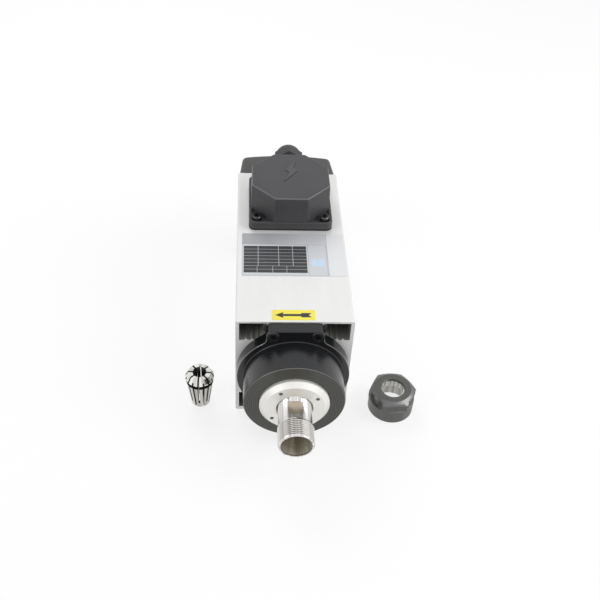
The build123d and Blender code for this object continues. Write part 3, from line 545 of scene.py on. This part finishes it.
def retainer_finish(name):
    """Face-turned stainless disc: close rings, and painted shade in its pin-spanner holes."""
    material, tree = new_material(name)
    _, reach, along = round_axis(tree, SPINDLE_AXIS)
    marks = tool_marks(tree, SPINDLE_AXIS, 0.35)
    holes = every(
        tree, above(tree, along, PIN_HOLE_FLOOR), between(tree, reach, *PIN_HOLE_BAND)
    )
    # Painted shade: the pin-spanner holes are painted darker.
    colour = blend(tree, holes, shade(tree, marks, "#F0EFEA", "#FDFCF8"), "#ACAAA6")
    coat(tree, colour, spread(tree, marks, 0.36, 0.5), relief(tree, marks, 0.004), 0.55)
    return material


FLAT_LEVEL = (10.6, 10.76)
FLAT_HALF_WIDTH = 4.9
FLAT_SPAN = (-142.85, -128.4)
THREAD_SPAN = (-157.2, -142.95)
ROOT_FADE = (12.3, 11.6)
BORE_END = -110.0
BORE_RADIUS = 10.55


def spindle_steel(name):
    """Ground shaft: painted reflection stripes along it, browned wrench flats, painted shade in the
    thread root, and a warm bore with painted reflection stripes.
    """
    material, tree = new_material(name)
    _, reach, along = round_axis(tree, SPINDLE_AXIS)
    x, _, z = coordinates(tree, SPINDLE_AXIS[0])
    marks = tool_marks(tree, SPINDLE_AXIS, 0.3)
    flats = every(
        tree,
        between(tree, off_centre(tree, z), *FLAT_LEVEL),
        between(tree, x, -FLAT_HALF_WIDTH, FLAT_HALF_WIDTH),
        between(tree, along, *FLAT_SPAN),
    )
    root_shade = every(
        tree, between(tree, along, *THREAD_SPAN), ramp(tree, reach, *ROOT_FADE, 0.0, 0.8)
    )
    bore = every(tree, below(tree, along, BORE_END), below(tree, reach, BORE_RADIUS))
    outer = shade(tree, reflection_streaks(tree, SPINDLE_AXIS, 3.2), "#B0A9A2", "#FFFFFF")
    browned = shade(tree, marks, "#BFB09C", "#DCCFBD")
    warm = shade(tree, reflection_streaks(tree, SPINDLE_AXIS, 1.3), "#7D735C", "#FFFBEC")
    # Painted shade darkens the thread root; the stripes outside and in the bore are painted
    # reflection.
    colour = blend(tree, root_shade, outer, "#5E5853")
    colour = blend(tree, flats, colour, browned)
    colour = blend(tree, bore, colour, warm)
    rough = spread(tree, marks, 0.18, 0.28)
    metallic = outside(tree, every(tree, bore, 0.5))
    coat(tree, colour, rough, relief(tree, marks, 0.003), metallic)
    return material


SLOT_COUNT = 8
SLOT_WIDTH = 1.1
SLOT_MARGIN = 0.08
# Each row of slots: its offset in slot pitches, and the heights that it is cut between.
HEAD_SLOTS = (0.5, 5.0, 31.6)
TAIL_SLOTS = (1.0, -1.0, 28.9)
COLLET_TURN = radians(-4)
GROOVE_SPAN = (23.3, 26.5)
GROOVE_RADIUS = 9.9
GROOVE_EDGES = (22.9, 26.75)
COLLET_BORE_RADIUS = 5.1
COLLET_HEAD_START = 26.0


def slot_distance(tree, flat, reach, phase):
    """Distance in mm from the middle of the nearest collet slot, measured round the axis."""
    east, north, _ = add_node(tree, "ShaderNodeSeparateXYZ", _0=flat).outputs
    value = north
    for operation, other in (
        ("ARCTAN2", east),
        ("SUBTRACT", COLLET_TURN),
        ("MULTIPLY", SLOT_COUNT / (2 * pi)),
        ("ADD", phase + SLOT_COUNT),
        ("FRACT", 0.0),
        ("SUBTRACT", 0.5),
        ("ABSOLUTE", 0.0),
        ("MULTIPLY", reach),
        ("MULTIPLY", 2 * pi / SLOT_COUNT),
    ):
        value = add_node(
            tree, "ShaderNodeMath", {"operation": operation}, _0=value, _1=other
        ).outputs[0]
    return value


def collet_finish(name):
    """Polished collet: painted reflection stripes, the head painted brighter than the cone as
    painted light, and painted shade, dark and dull, in its slots, bore and groove.
    """
    material, tree = new_material(name)
    flat, reach, along = round_axis(tree, COLLET_AXIS)
    slots = [
        every(
            tree,
            below(tree, slot_distance(tree, flat, reach, phase), SLOT_WIDTH / 2 + SLOT_MARGIN),
            between(tree, along, low, high),
        )
        for phase, low, high in (HEAD_SLOTS, TAIL_SLOTS)
    ]
    groove = either(
        tree,
        every(tree, between(tree, along, *GROOVE_SPAN), below(tree, reach, GROOVE_RADIUS)),
        between(tree, along, *GROOVE_EDGES),
    )
    bore = below(tree, reach, COLLET_BORE_RADIUS)
    # Painted shade: the slots, the groove and its edge band, and the bore are painted near black
    # and dull.
    dark = either(tree, *slots, groove, every(tree, bore, 0.85))
    marks = tool_marks(tree, COLLET_AXIS, 0.3)
    # Painted reflection stripes, and the head painted brighter than the cone as painted light.
    lengthwise = reflection_streaks(tree, COLLET_AXIS, 4.0)
    cone = shade(tree, lengthwise, "#86837D", "#CFCCC6")
    head = shade(tree, lengthwise, "#B4B2AD", "#FBFAF7")
    bright = blend(tree, above(tree, along, COLLET_HEAD_START), cone, head)
    rough = add_node(
        tree,
        "ShaderNodeMath",
        {"operation": "ADD"},
        _0=spread(tree, marks, 0.16, 0.26),
        _1=every(tree, dark, 0.7),
    ).outputs[0]
    colour = blend(tree, dark, bright, "#0B0B0B")
    coat(tree, colour, rough, relief(tree, marks, 0.002), outside(tree, dark))
    return material


NUT_BORE_RADIUS = 12.75
NUT_BORE_HEIGHT = 13.9
NUT_SLOPE_SPAN = (17.0, 20.46)
NUT_SLOPE_START = 13.52


def nut_finish(name):
    """Gunmetal finish over turned steel, with a painted highlight on the cone of its top and
    painted reflection stripes lighting the thread inside.
    """
    material, tree = new_material(name)
    _, reach, along = round_axis(tree, NUT_AXIS)
    marks = tool_marks(tree, NUT_AXIS, 0.45)
    thread = every(
        tree, below(tree, reach, NUT_BORE_RADIUS), below(tree, along, NUT_BORE_HEIGHT)
    )
    slope_highlight = every(
        tree, between(tree, along, *NUT_SLOPE_SPAN), above(tree, reach, NUT_SLOPE_START)
    )
    # Painted reflection stripes light the thread; the top cone gets a painted highlight.
    bright = shade(tree, reflection_streaks(tree, NUT_AXIS, 3.0), "#6C6B66", "#C9C8C3")
    colour = shade(tree, marks, "#545452", "#6C6C69")
    colour = blend(tree, every(tree, slope_highlight, 0.2), colour, "#A6A8AB")
    colour = blend(tree, thread, colour, bright)
    coat(tree, colour, spread(tree, marks, 0.36, 0.48), relief(tree, marks, 0.001), 0.9)
    return material


def ring_finish(name):
    """Bored ring: painted reflection stripes down its cone."""
    material, tree = new_material(name)
    marks = tool_marks(tree, NUT_AXIS, 0.3)
    colour = shade(tree, reflection_streaks(tree, NUT_AXIS, 3.0), "#6C6B66", "#D8D7D2")
    coat(tree, colour, spread(tree, marks, 0.2, 0.3), relief(tree, marks, 0.002), 0.9)
    return material


# Printed areas of the plate, each as left, right, low and high.
PLATE_TABLE = (-35.7, 10.8, -37.6, -7.3)
PLATE_BORDERS = ((-36.3, 25.6, -40.3, -5.4), (12.0, 25.6, -40.3, -5.4))
PLATE_SQUARES = ((14.2, 18.4, -30.0, -22.0), (19.0, 23.2, -30.0, -22.0))
PLATE_HEADER_LEVEL = (-5.4, 8.0)
PLATE_PANEL_EDGE = 26.4
PANEL_EDGE_MIDDLE = -16.6
PANEL_EDGE_REACH = 24.2
PLATE_TINT_SPAN = (-37.0, 26.0)
TABLE_ROWS = 8
WIDE_ROWS = 2
# Where the column lines stand, as shares of the table's width.
UPPER_COLUMNS = (0.228, 0.554, 0.78)
LOWER_COLUMNS = (0.21, 0.455, 0.675)
# Half the width of a printed line.
ROW_LINE = 0.16
COLUMN_LINE = 0.2
BORDER_LINE = 0.12
PANEL_LINE = 0.14


def name_plate_foil(name):
    """Silver foil with a printed dark table and fine border lines; no lettering."""
    material, tree = new_material(name)
    spot = millimetres(tree)
    x, y, _ = add_node(tree, "ShaderNodeSeparateXYZ", _0=spot).outputs

    def block(left, right, low, high):
        """1 inside a rectangle."""
        return every(tree, between(tree, x, left, right), between(tree, y, low, high))

    def border(left, right, low, high):
        """1 on the border line of a rectangle."""
        wide, tall = between(tree, x, left, right), between(tree, y, low, high)
        uprights = [every(tree, near(tree, x, side, BORDER_LINE), tall) for side in (left, right)]
        levels = [every(tree, near(tree, y, side, BORDER_LINE), wide) for side in (low, high)]
        return either(tree, *uprights, *levels)

    def columns(shares, low, high, line):
        """The upright lines of the table between two heights."""
        rows = between(tree, y, low, high)
        width = PLATE_TABLE[1] - PLATE_TABLE[0]
        for share in shares:
            place = PLATE_TABLE[0] + share * width
            yield every(tree, near(tree, x, place, line), rows)

    low, high = PLATE_TABLE[2:]
    row = (high - low) / TABLE_ROWS
    split = low + WIDE_ROWS * row
    table = block(*PLATE_TABLE)
    rules = [near(tree, y, low + n * row, ROW_LINE) for n in range(1, TABLE_ROWS)]
    rules += columns(UPPER_COLUMNS, split, high, COLUMN_LINE)
    rules += columns(LOWER_COLUMNS, low, split, ROW_LINE)
    panel_edge = every(
        tree,
        near(tree, x, PLATE_PANEL_EDGE, PANEL_LINE),
        near(tree, y, PANEL_EDGE_MIDDLE, PANEL_EDGE_REACH),
    )
    borders = either(tree, *(border(*place) for place in PLATE_BORDERS), panel_edge)
    squares = either(tree, *(block(*place) for place in PLATE_SQUARES))
    panel = above(tree, x, PLATE_PANEL_EDGE)
    header = every(tree, between(tree, y, *PLATE_HEADER_LEVEL), outside(tree, panel))
    stretched = add_node(
        tree, "ShaderNodeVectorMath", {"operation": "MULTIPLY"}, _0=spot, _1=(0.05, 4.0, 1.0)
    )
    brushed = add_node(
        tree, "ShaderNodeTexNoise", Vector=stretched.outputs[0], Scale=1.0, Detail=3.0
    ).outputs[0]
    colour = shade(tree, brushed, "#C9CCD1", "#D6D8DC")
    darker = shade(tree, ramp(tree, x, *PLATE_TINT_SPAN), "#A9AAAE", "#CFD1D6")
    for mask, ink in (
        (header, darker),
        (panel, "#E3E4E6"),
        (squares, "#C5DDF0"),
        (borders, "#9A9DA2"),
        (table, "#38393C"),
        (every(tree, table, either(tree, *rules)), "#B9BBBE"),
    ):
        colour = blend(tree, mask, colour, ink)
    bare = outside(tree, either(tree, table, squares))
    coat(tree, colour, 0.42, relief(tree, brushed, 0.002), every(tree, bare, 0.12))
    return material


# ---------------------------------------------------------------- table of finishes
finishes = {
    # Aluminium extrusion, bead blasted and clear anodised: nearly white and silky, with painted
    # shade in its hollows.
    "body_aluminium": grained(
        "clear_anodised_aluminium",
        "#E8E8E7",
        "#EDEDEC",
        0.25,
        0.5,
        0.006,
        metallic=0.35,
        stretch=(1, 0.2, 1),
        places=channel_shade,
    ),
    # Turned aluminium, black anodised: dark with a soft sheen and fine rings, a painted highlight
    # on its edges and painted sheen on its front face.
    "black_anodised": black_anodised("black_anodised_aluminium"),
    # Face-turned stainless disc: bright, with close rings and painted shade in its pin-spanner
    # holes.
    "retainer_steel": retainer_finish("face_turned_steel"),
    # Ground and turned tool steel, with painted reflection stripes along its length and painted
    # shade at the root of its thread.
    "shaft_steel": spindle_steel("ground_shaft_steel"),
    # Ground and honed bearing steel: smooth, a clean mirror grey.
    "bearing_steel": turned(
        "ground_bearing_steel", "#C4C5C8", "#DADBDD", SPINDLE_AXIS, 0.3, 0.16, 0.001
    ),
    # Lapped balls: brighter and sharper still.
    "ball_steel": turned("polished_balls", "#CFD0D2", "#E2E3E4", SPINDLE_AXIS, 2.0, 0.1, 0.001),
    # Ground sleeve: a plain satin grey.
    "spacer_steel": turned("ground_spacer", "#B4B5B7", "#CACBCC", SPINDLE_AXIS, 0.4, 0.25, 0.002),
    # Turned and blackened steel nut: dark with a low shine.
    "lock_nut_steel": turned(
        "blackened_steel", "#2E2F31", "#3D3E40", SPINDLE_AXIS, 0.5, 0.4, 0.003, 0.8
    ),
    # Alloy screws with a black oxide skin, slightly oily.
    "screw_black": grained("black_oxide", "#4A4A4C", "#5E5E60", 0.3, 0.28, 0.004, 0.9),
    # Zinc plated steel: pale, faintly cloudy.
    "zinc_steel": grained("zinc_plate", "#B9BBBC", "#CDCFCF", 0.5, 0.3, 0.004, 1.0),
    # Rolled spring steel: plain mid grey.
    "spring_steel": grained("spring_steel", "#7A7B7D", "#8E8F91", 0.4, 0.35, 0.003, 1.0),
    # Punched electrical steel, stacked: fine lines of cut edges.
    "lamination_steel": laminated("stacked_laminations", "#4C4F54", "#8C8F94", 0.5),
    # Sand cast aluminium: pale, rough and dull.
    "cast_aluminium": grained("sand_cast_aluminium", "#A9AAAC", "#BDBEBF", 0.7, 0.5, 0.03, 0.9),
    # Enamelled copper wire under varnish: warm brown with a wet shine along the wires.
    "winding_copper": grained(
        "varnished_copper", "#8A4A22", "#B06A34", 0.8, 0.3, 0.15, 0.9, stretch=(1, 0.08, 1)
    ),
    # Silicone sleeve on the phase leads: deep red and soft.
    "lead_insulation": grained("silicone_sleeve", "#7E1A18", "#92211E", 0.4, 0.55, 0.01),
    # Glass-filled nylon with a spark-eroded grain: dark grey and matte, with a painted highlight
    # along the top edge.
    "hood_plastic": grained(
        "grained_hood_plastic", "#434345", "#4A4A4C", 0.45, 0.5, 0.02, places=hood_edge_highlight
    ),
    # The same nylon on the fan cover, a shade lighter and drier.
    "cover_plastic": grained("grained_cover_plastic", "#4C4C4B", "#535352", 0.4, 0.6, 0.02),
    # Smooth moulded nylon of the fan: near black.
    "fan_plastic": grained("black_moulded_plastic", "#1E1E1F", "#262627", 0.6, 0.5, 0.01),
    # Smooth black nylon of the cable gland, a little glossier.
    "gland_plastic": grained("gland_nylon", "#2E2F31", "#37383A", 0.6, 0.42, 0.008),
    # Moulded thermoset of the terminal block: hard, black, even.
    "block_plastic": grained("thermoset_block", "#262627", "#2E2E2F", 0.5, 0.5, 0.01),
    # Cut sheet rubber: black and dead matte.
    "gasket_rubber": grained("black_rubber", "#141414", "#1A1A1A", 0.5, 0.7, 0.02),
    # Moulded rubber of the gland's seal: black, a little smoother.
    "seal_rubber": grained("seal_rubber", "#161616", "#1D1D1D", 0.5, 0.65, 0.02),
    # Turned brass: warm yellow and bright.
    "stud_brass": grained("turned_brass", "#B9923F", "#CDA652", 0.5, 0.28, 0.004, 1.0),
    # Self-adhesive silver foil, brushed and printed: grey sheen under dark ink.
    "plate_foil": name_plate_foil("silver_foil"),
    # Printed vinyl label: lemon yellow, smooth.
    "label_yellow": grained("yellow_vinyl", "#F1E353", "#F6E95F", 0.8, 0.4, 0.002),
    # Hardened and ground spring steel, polished: high contrast from painted reflection stripes and
    # painted shade in its slots, bore and groove.
    "collet_steel": collet_finish("polished_collet_steel"),
    # Gunmetal finish over turned steel: dark grey with a soft shine, a painted highlight on its top
    # cone and painted reflection in its thread.
    "nut_steel": nut_finish("gunmetal_steel"),
    # Bored bright ring, with painted reflection stripes: the lightest part of the nut.
    "nut_ring_steel": ring_finish("bright_ring_steel"),
}
# The same plastic as the hood's on its raised bolt: painted a little paler as painted light on its
# top, with painted shade on its flanks.
bolt_light_and_shade = grained(
    "raised_bolt_light_and_shade", "#4C4C4E", "#535355", 0.45, 0.5, 0.02, places=bolt_flank_shade
)
# The gland's fixed flange, in the same nylon as its cap nut: painted blacker and duller as painted
# shadow.
flange_painted_shade = grained("gland_flange_painted_shade", "#08080A", "#0C0C0E", 0.6, 0.7, 0.008)
# Printing ink of the arrow: dense dark grey.
label_ink = grained("dark_ink", "#333337", "#3B3B3F", 0.8, 0.45, 0.001)

slot_of = {part["node"]: part["material_slot"] for part in frame["record"]["subparts"]}
for node_name, cad_object in nodes.items():
    cad_object.data.materials.clear()
    cad_object.data.materials.append(finishes[slot_of[node_name]])
# The gland's flange is painted near black as painted shadow.
nodes["gland_body"].data.materials[0] = flange_painted_shade

# ---------------------------------------------------------------- new pieces
MERGE_DISTANCE = 0.002 * MM
TOLERANCE = 0.01 * MM
# Edges bent by more than these angles, in degrees, stay sharp: each is small enough to keep
# its piece's flats flat, and large enough to smooth its round walls.
PLAIN_CREASE = 30
HOOD_CREASE = 5
SMALL_PART_CREASE = 14
SHAFT_CREASE = 18


def finish_piece(bm, name, body, slot, replaced=(), crease=PLAIN_CREASE):
    """Makes an object from a bmesh, smooth but for creases over an angle, on a CAD body."""
    bmesh.ops.recalc_face_normals(bm, faces=bm.faces)
    for face in bm.faces:
        face.smooth = True
    mesh = bpy.data.meshes.new(name)
    bm.to_mesh(mesh)
    bm.free()
    mesh.set_sharp_from_angle(angle=radians(crease))
    mesh.materials.append(finishes[slot])
    piece = bpy.data.objects.new(name, mesh)
    bpy.context.scene.collection.objects.link(piece)
    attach(piece, body)
    if replaced:
        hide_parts(*replaced)
    return piece


def merged_copy(node):
    """A bmesh of a CAD node with its loose triangles joined."""
    bm = bmesh.new()
    bm.from_mesh(nodes[node].data)
    bmesh.ops.remove_doubles(bm, verts=bm.verts, dist=MERGE_DISTANCE)
    return bm


def turned_collet():
    """The collet, turned a little on its axis as it happens to stand."""
    bm = merged_copy("collet")
    bmesh.ops.rotate(
        bm, verts=bm.verts, cent=COLLET_AXIS[0], matrix=Matrix.Rotation(COLLET_TURN, 3, "Z")
    )
    finish_piece(bm, "turned_collet", "loose_collet", "collet_steel", ["collet"], SMALL_PART_CREASE)


HOOD_TOP = 121.5 * MM
HOOD_EDGE = 1.0 * MM
BOLT_RISE = 0.45 * MM


def lowered_hood():
    """The hood with its top face set down, so that the raised bolt ends at full height."""
    bm = merged_copy("terminal_box_hood")
    for vertex in bm.verts:
        if vertex.co.z > HOOD_TOP - HOOD_EDGE:
            vertex.co.z -= BOLT_RISE
    replaced = ["terminal_box_hood"]
    finish_piece(bm, "lowered_hood", "housing", "hood_plastic", replaced, HOOD_CREASE)


NUT_HEIGHT = 20.5 * MM
NUT_TOP_RADIUS = 14.4 * MM
NUT_TOP_SLOPE = 1.3 * MM
CROWN_RADIUS = 13.5 * MM
CROWN_STEEPNESS = 0.62


def chamfered_nut():
    """The clamping nut with its top turned to a broader, deeper cone."""
    bm = merged_copy("collet_nut")
    centre = Vector(NUT_AXIS[0])
    for vertex in bm.verts:
        offset = (vertex.co - centre).xy
        if NUT_HEIGHT - vertex.co.z > NUT_TOP_SLOPE + TOLERANCE:
            continue
        if offset.length > NUT_TOP_RADIUS + TOLERANCE:
            vertex.co.z = NUT_HEIGHT - CROWN_STEEPNESS * (offset.length - CROWN_RADIUS)
        elif offset.length > NUT_TOP_RADIUS - TOLERANCE:
            vertex.co.xy = centre.xy + offset * CROWN_RADIUS / NUT_TOP_RADIUS
    finish_piece(bm, "chamfered_nut", "loose_nut", "nut_steel", ["collet_nut"], SMALL_PART_CREASE)


NOSE_END = -157.9 * MM
THREAD_START = -142.9 * MM
THREAD_CREST = 12.5 * MM
THREAD_ROOT = 11.55 * MM
THREAD_PITCH = 1.5 * MM
STEPS_PER_TURN = 72
# The ridge is rooted in the core, and its flanks and crest are shares of half a pitch.
RIDGE_ROOT = THREAD_ROOT - 0.3 * MM
FLANK_SHARE = 1.1
CREST_SHARE = 0.14
LEAD_IN = 0.2 * MM
MOUTH_GAP = 0.02 * MM
CHAMFER_START = THREAD_ROOT + 0.1 * MM


def axis_distance(vertex):
    """Distance of a vertex from the spindle axis."""
    return hypot(vertex.co.x, vertex.co.z - AXIS_HEIGHT)


def set_axis_distance(vertex, distance):
    """Moves a vertex straight in or out, to a distance from the spindle axis."""
    offset = Vector((vertex.co.x, 0, vertex.co.z - AXIS_HEIGHT))
    offset *= distance / offset.length
    vertex.co.x = offset.x
    vertex.co.z = offset.z + AXIS_HEIGHT


def threaded_shaft():
    """The shaft with a cut thread: its nose core, and a ridge wound round it."""
    bm = merged_copy("shaft")
    for vertex in bm.verts:
        if vertex.co.y < THREAD_START + TOLERANCE and axis_distance(vertex) > THREAD_ROOT:
            set_axis_distance(vertex, THREAD_ROOT)
    half = THREAD_PITCH / 2
    start = NOSE_END + LEAD_IN - half
    profile = (
        (RIDGE_ROOT, -half * FLANK_SHARE),
        (THREAD_CREST, -half * CREST_SHARE),
        (THREAD_CREST, half * CREST_SHARE),
        (RIDGE_ROOT, half * FLANK_SHARE),
    )
    ring = [bm.verts.new((0, start + along, AXIS_HEIGHT + reach)) for reach, along in profile]
    edges = [bm.edges.new((ring[n - 1], ring[n])) for n in range(4)]
    turns = int((THREAD_START - start) / THREAD_PITCH)
    old = set(bm.verts)
    bmesh.ops.spin(
        bm,
        geom=ring + edges,
        cent=(0, 0, AXIS_HEIGHT),
        axis=(0, 1, 0),
        dvec=(0, THREAD_PITCH / STEPS_PER_TURN, 0),
        angle=2 * pi * turns,
        steps=turns * STEPS_PER_TURN,
    )
    ridge = [v for v in bm.verts if v not in old] + ring
    for vertex in ridge:
        # The nose chamfer cuts the first turn; the last one ends against the neck.
        vertex.co.y = min(max(vertex.co.y, NOSE_END + MOUTH_GAP), THREAD_START)
        chamfer = CHAMFER_START + vertex.co.y - NOSE_END
        set_axis_distance(vertex, min(axis_distance(vertex), chamfer))
    ends = [e for e in bm.edges if e.is_boundary]
    bmesh.ops.holes_fill(bm, edges=ends, sides=0)
    finish_piece(bm, "threaded_shaft", "rotor", "shaft_steel", ["shaft"], SHAFT_CREASE)


def flat_shape(points, level, rise, name, slot, edge=0.0):
    """A thin raised shape on a level face, from an outline in mm."""
    bm = bmesh.new()
    outline = [bm.verts.new((x * MM, y * MM, level)) for x, y in points]
    face = bm.faces.new(outline)
    grown = bmesh.ops.extrude_face_region(bm, geom=[face])["geom"]
    top = [v for v in grown if isinstance(v, bmesh.types.BMVert)]
    bmesh.ops.translate(bm, verts=top, vec=(0, 0, rise))
    if edge:
        rim = [e for e in bm.edges if all(v in top for v in e.verts)]
        bmesh.ops.bevel(
            bm, geom=rim, offset=edge, affect="EDGES", segments=2, profile=0.5, material=-1
        )
    return finish_piece(bm, name, "housing", slot)


# Outlines in mm: tips and corners only, all straight between them.
BOLT = ((4.8, 63.5), (1.9, 53.4), (5.6, 50.2), (-5.3, 35.5), (-0.9, 47.0), (-4.3, 50.9))
ARROW = (
    (-14.0, -81.3),
    (-8.1, -84.2),
    (-8.6, -82.4),
    (4.1, -82.4),
    (4.1, -83.5),
    (11.3, -83.5),
    (9.3, -81.4),
    (11.3, -79.3),
    (4.1, -79.3),
    (4.1, -80.3),
    (-8.6, -80.3),
    (-8.1, -78.5),
)
BOLT_SINK = 0.05 * MM
BOLT_EDGE = 0.1 * MM
LABEL_TOP = BODY_TOP + 0.15 * MM
INK_SINK = 0.01 * MM
INK_THICKNESS = 0.03 * MM


def raised_bolt():
    """A lightning bolt moulded on top of the hood."""
    level = HOOD_TOP - BOLT_RISE - BOLT_SINK
    rise = BOLT_RISE + BOLT_SINK
    bolt = flat_shape(BOLT, level, rise, "moulded_bolt", "hood_plastic", BOLT_EDGE)
    bolt.data.materials[0] = bolt_light_and_shade


def printed_arrow():
    """The arrow printed on the yellow label."""
    arrow = flat_shape(ARROW, LABEL_TOP - INK_SINK, INK_THICKNESS, "label_arrow", "label_yellow")
    arrow.data.materials[0] = label_ink


threaded_shaft()
turned_collet()
chamfered_nut()
lowered_hood()
raised_bolt()
printed_arrow()
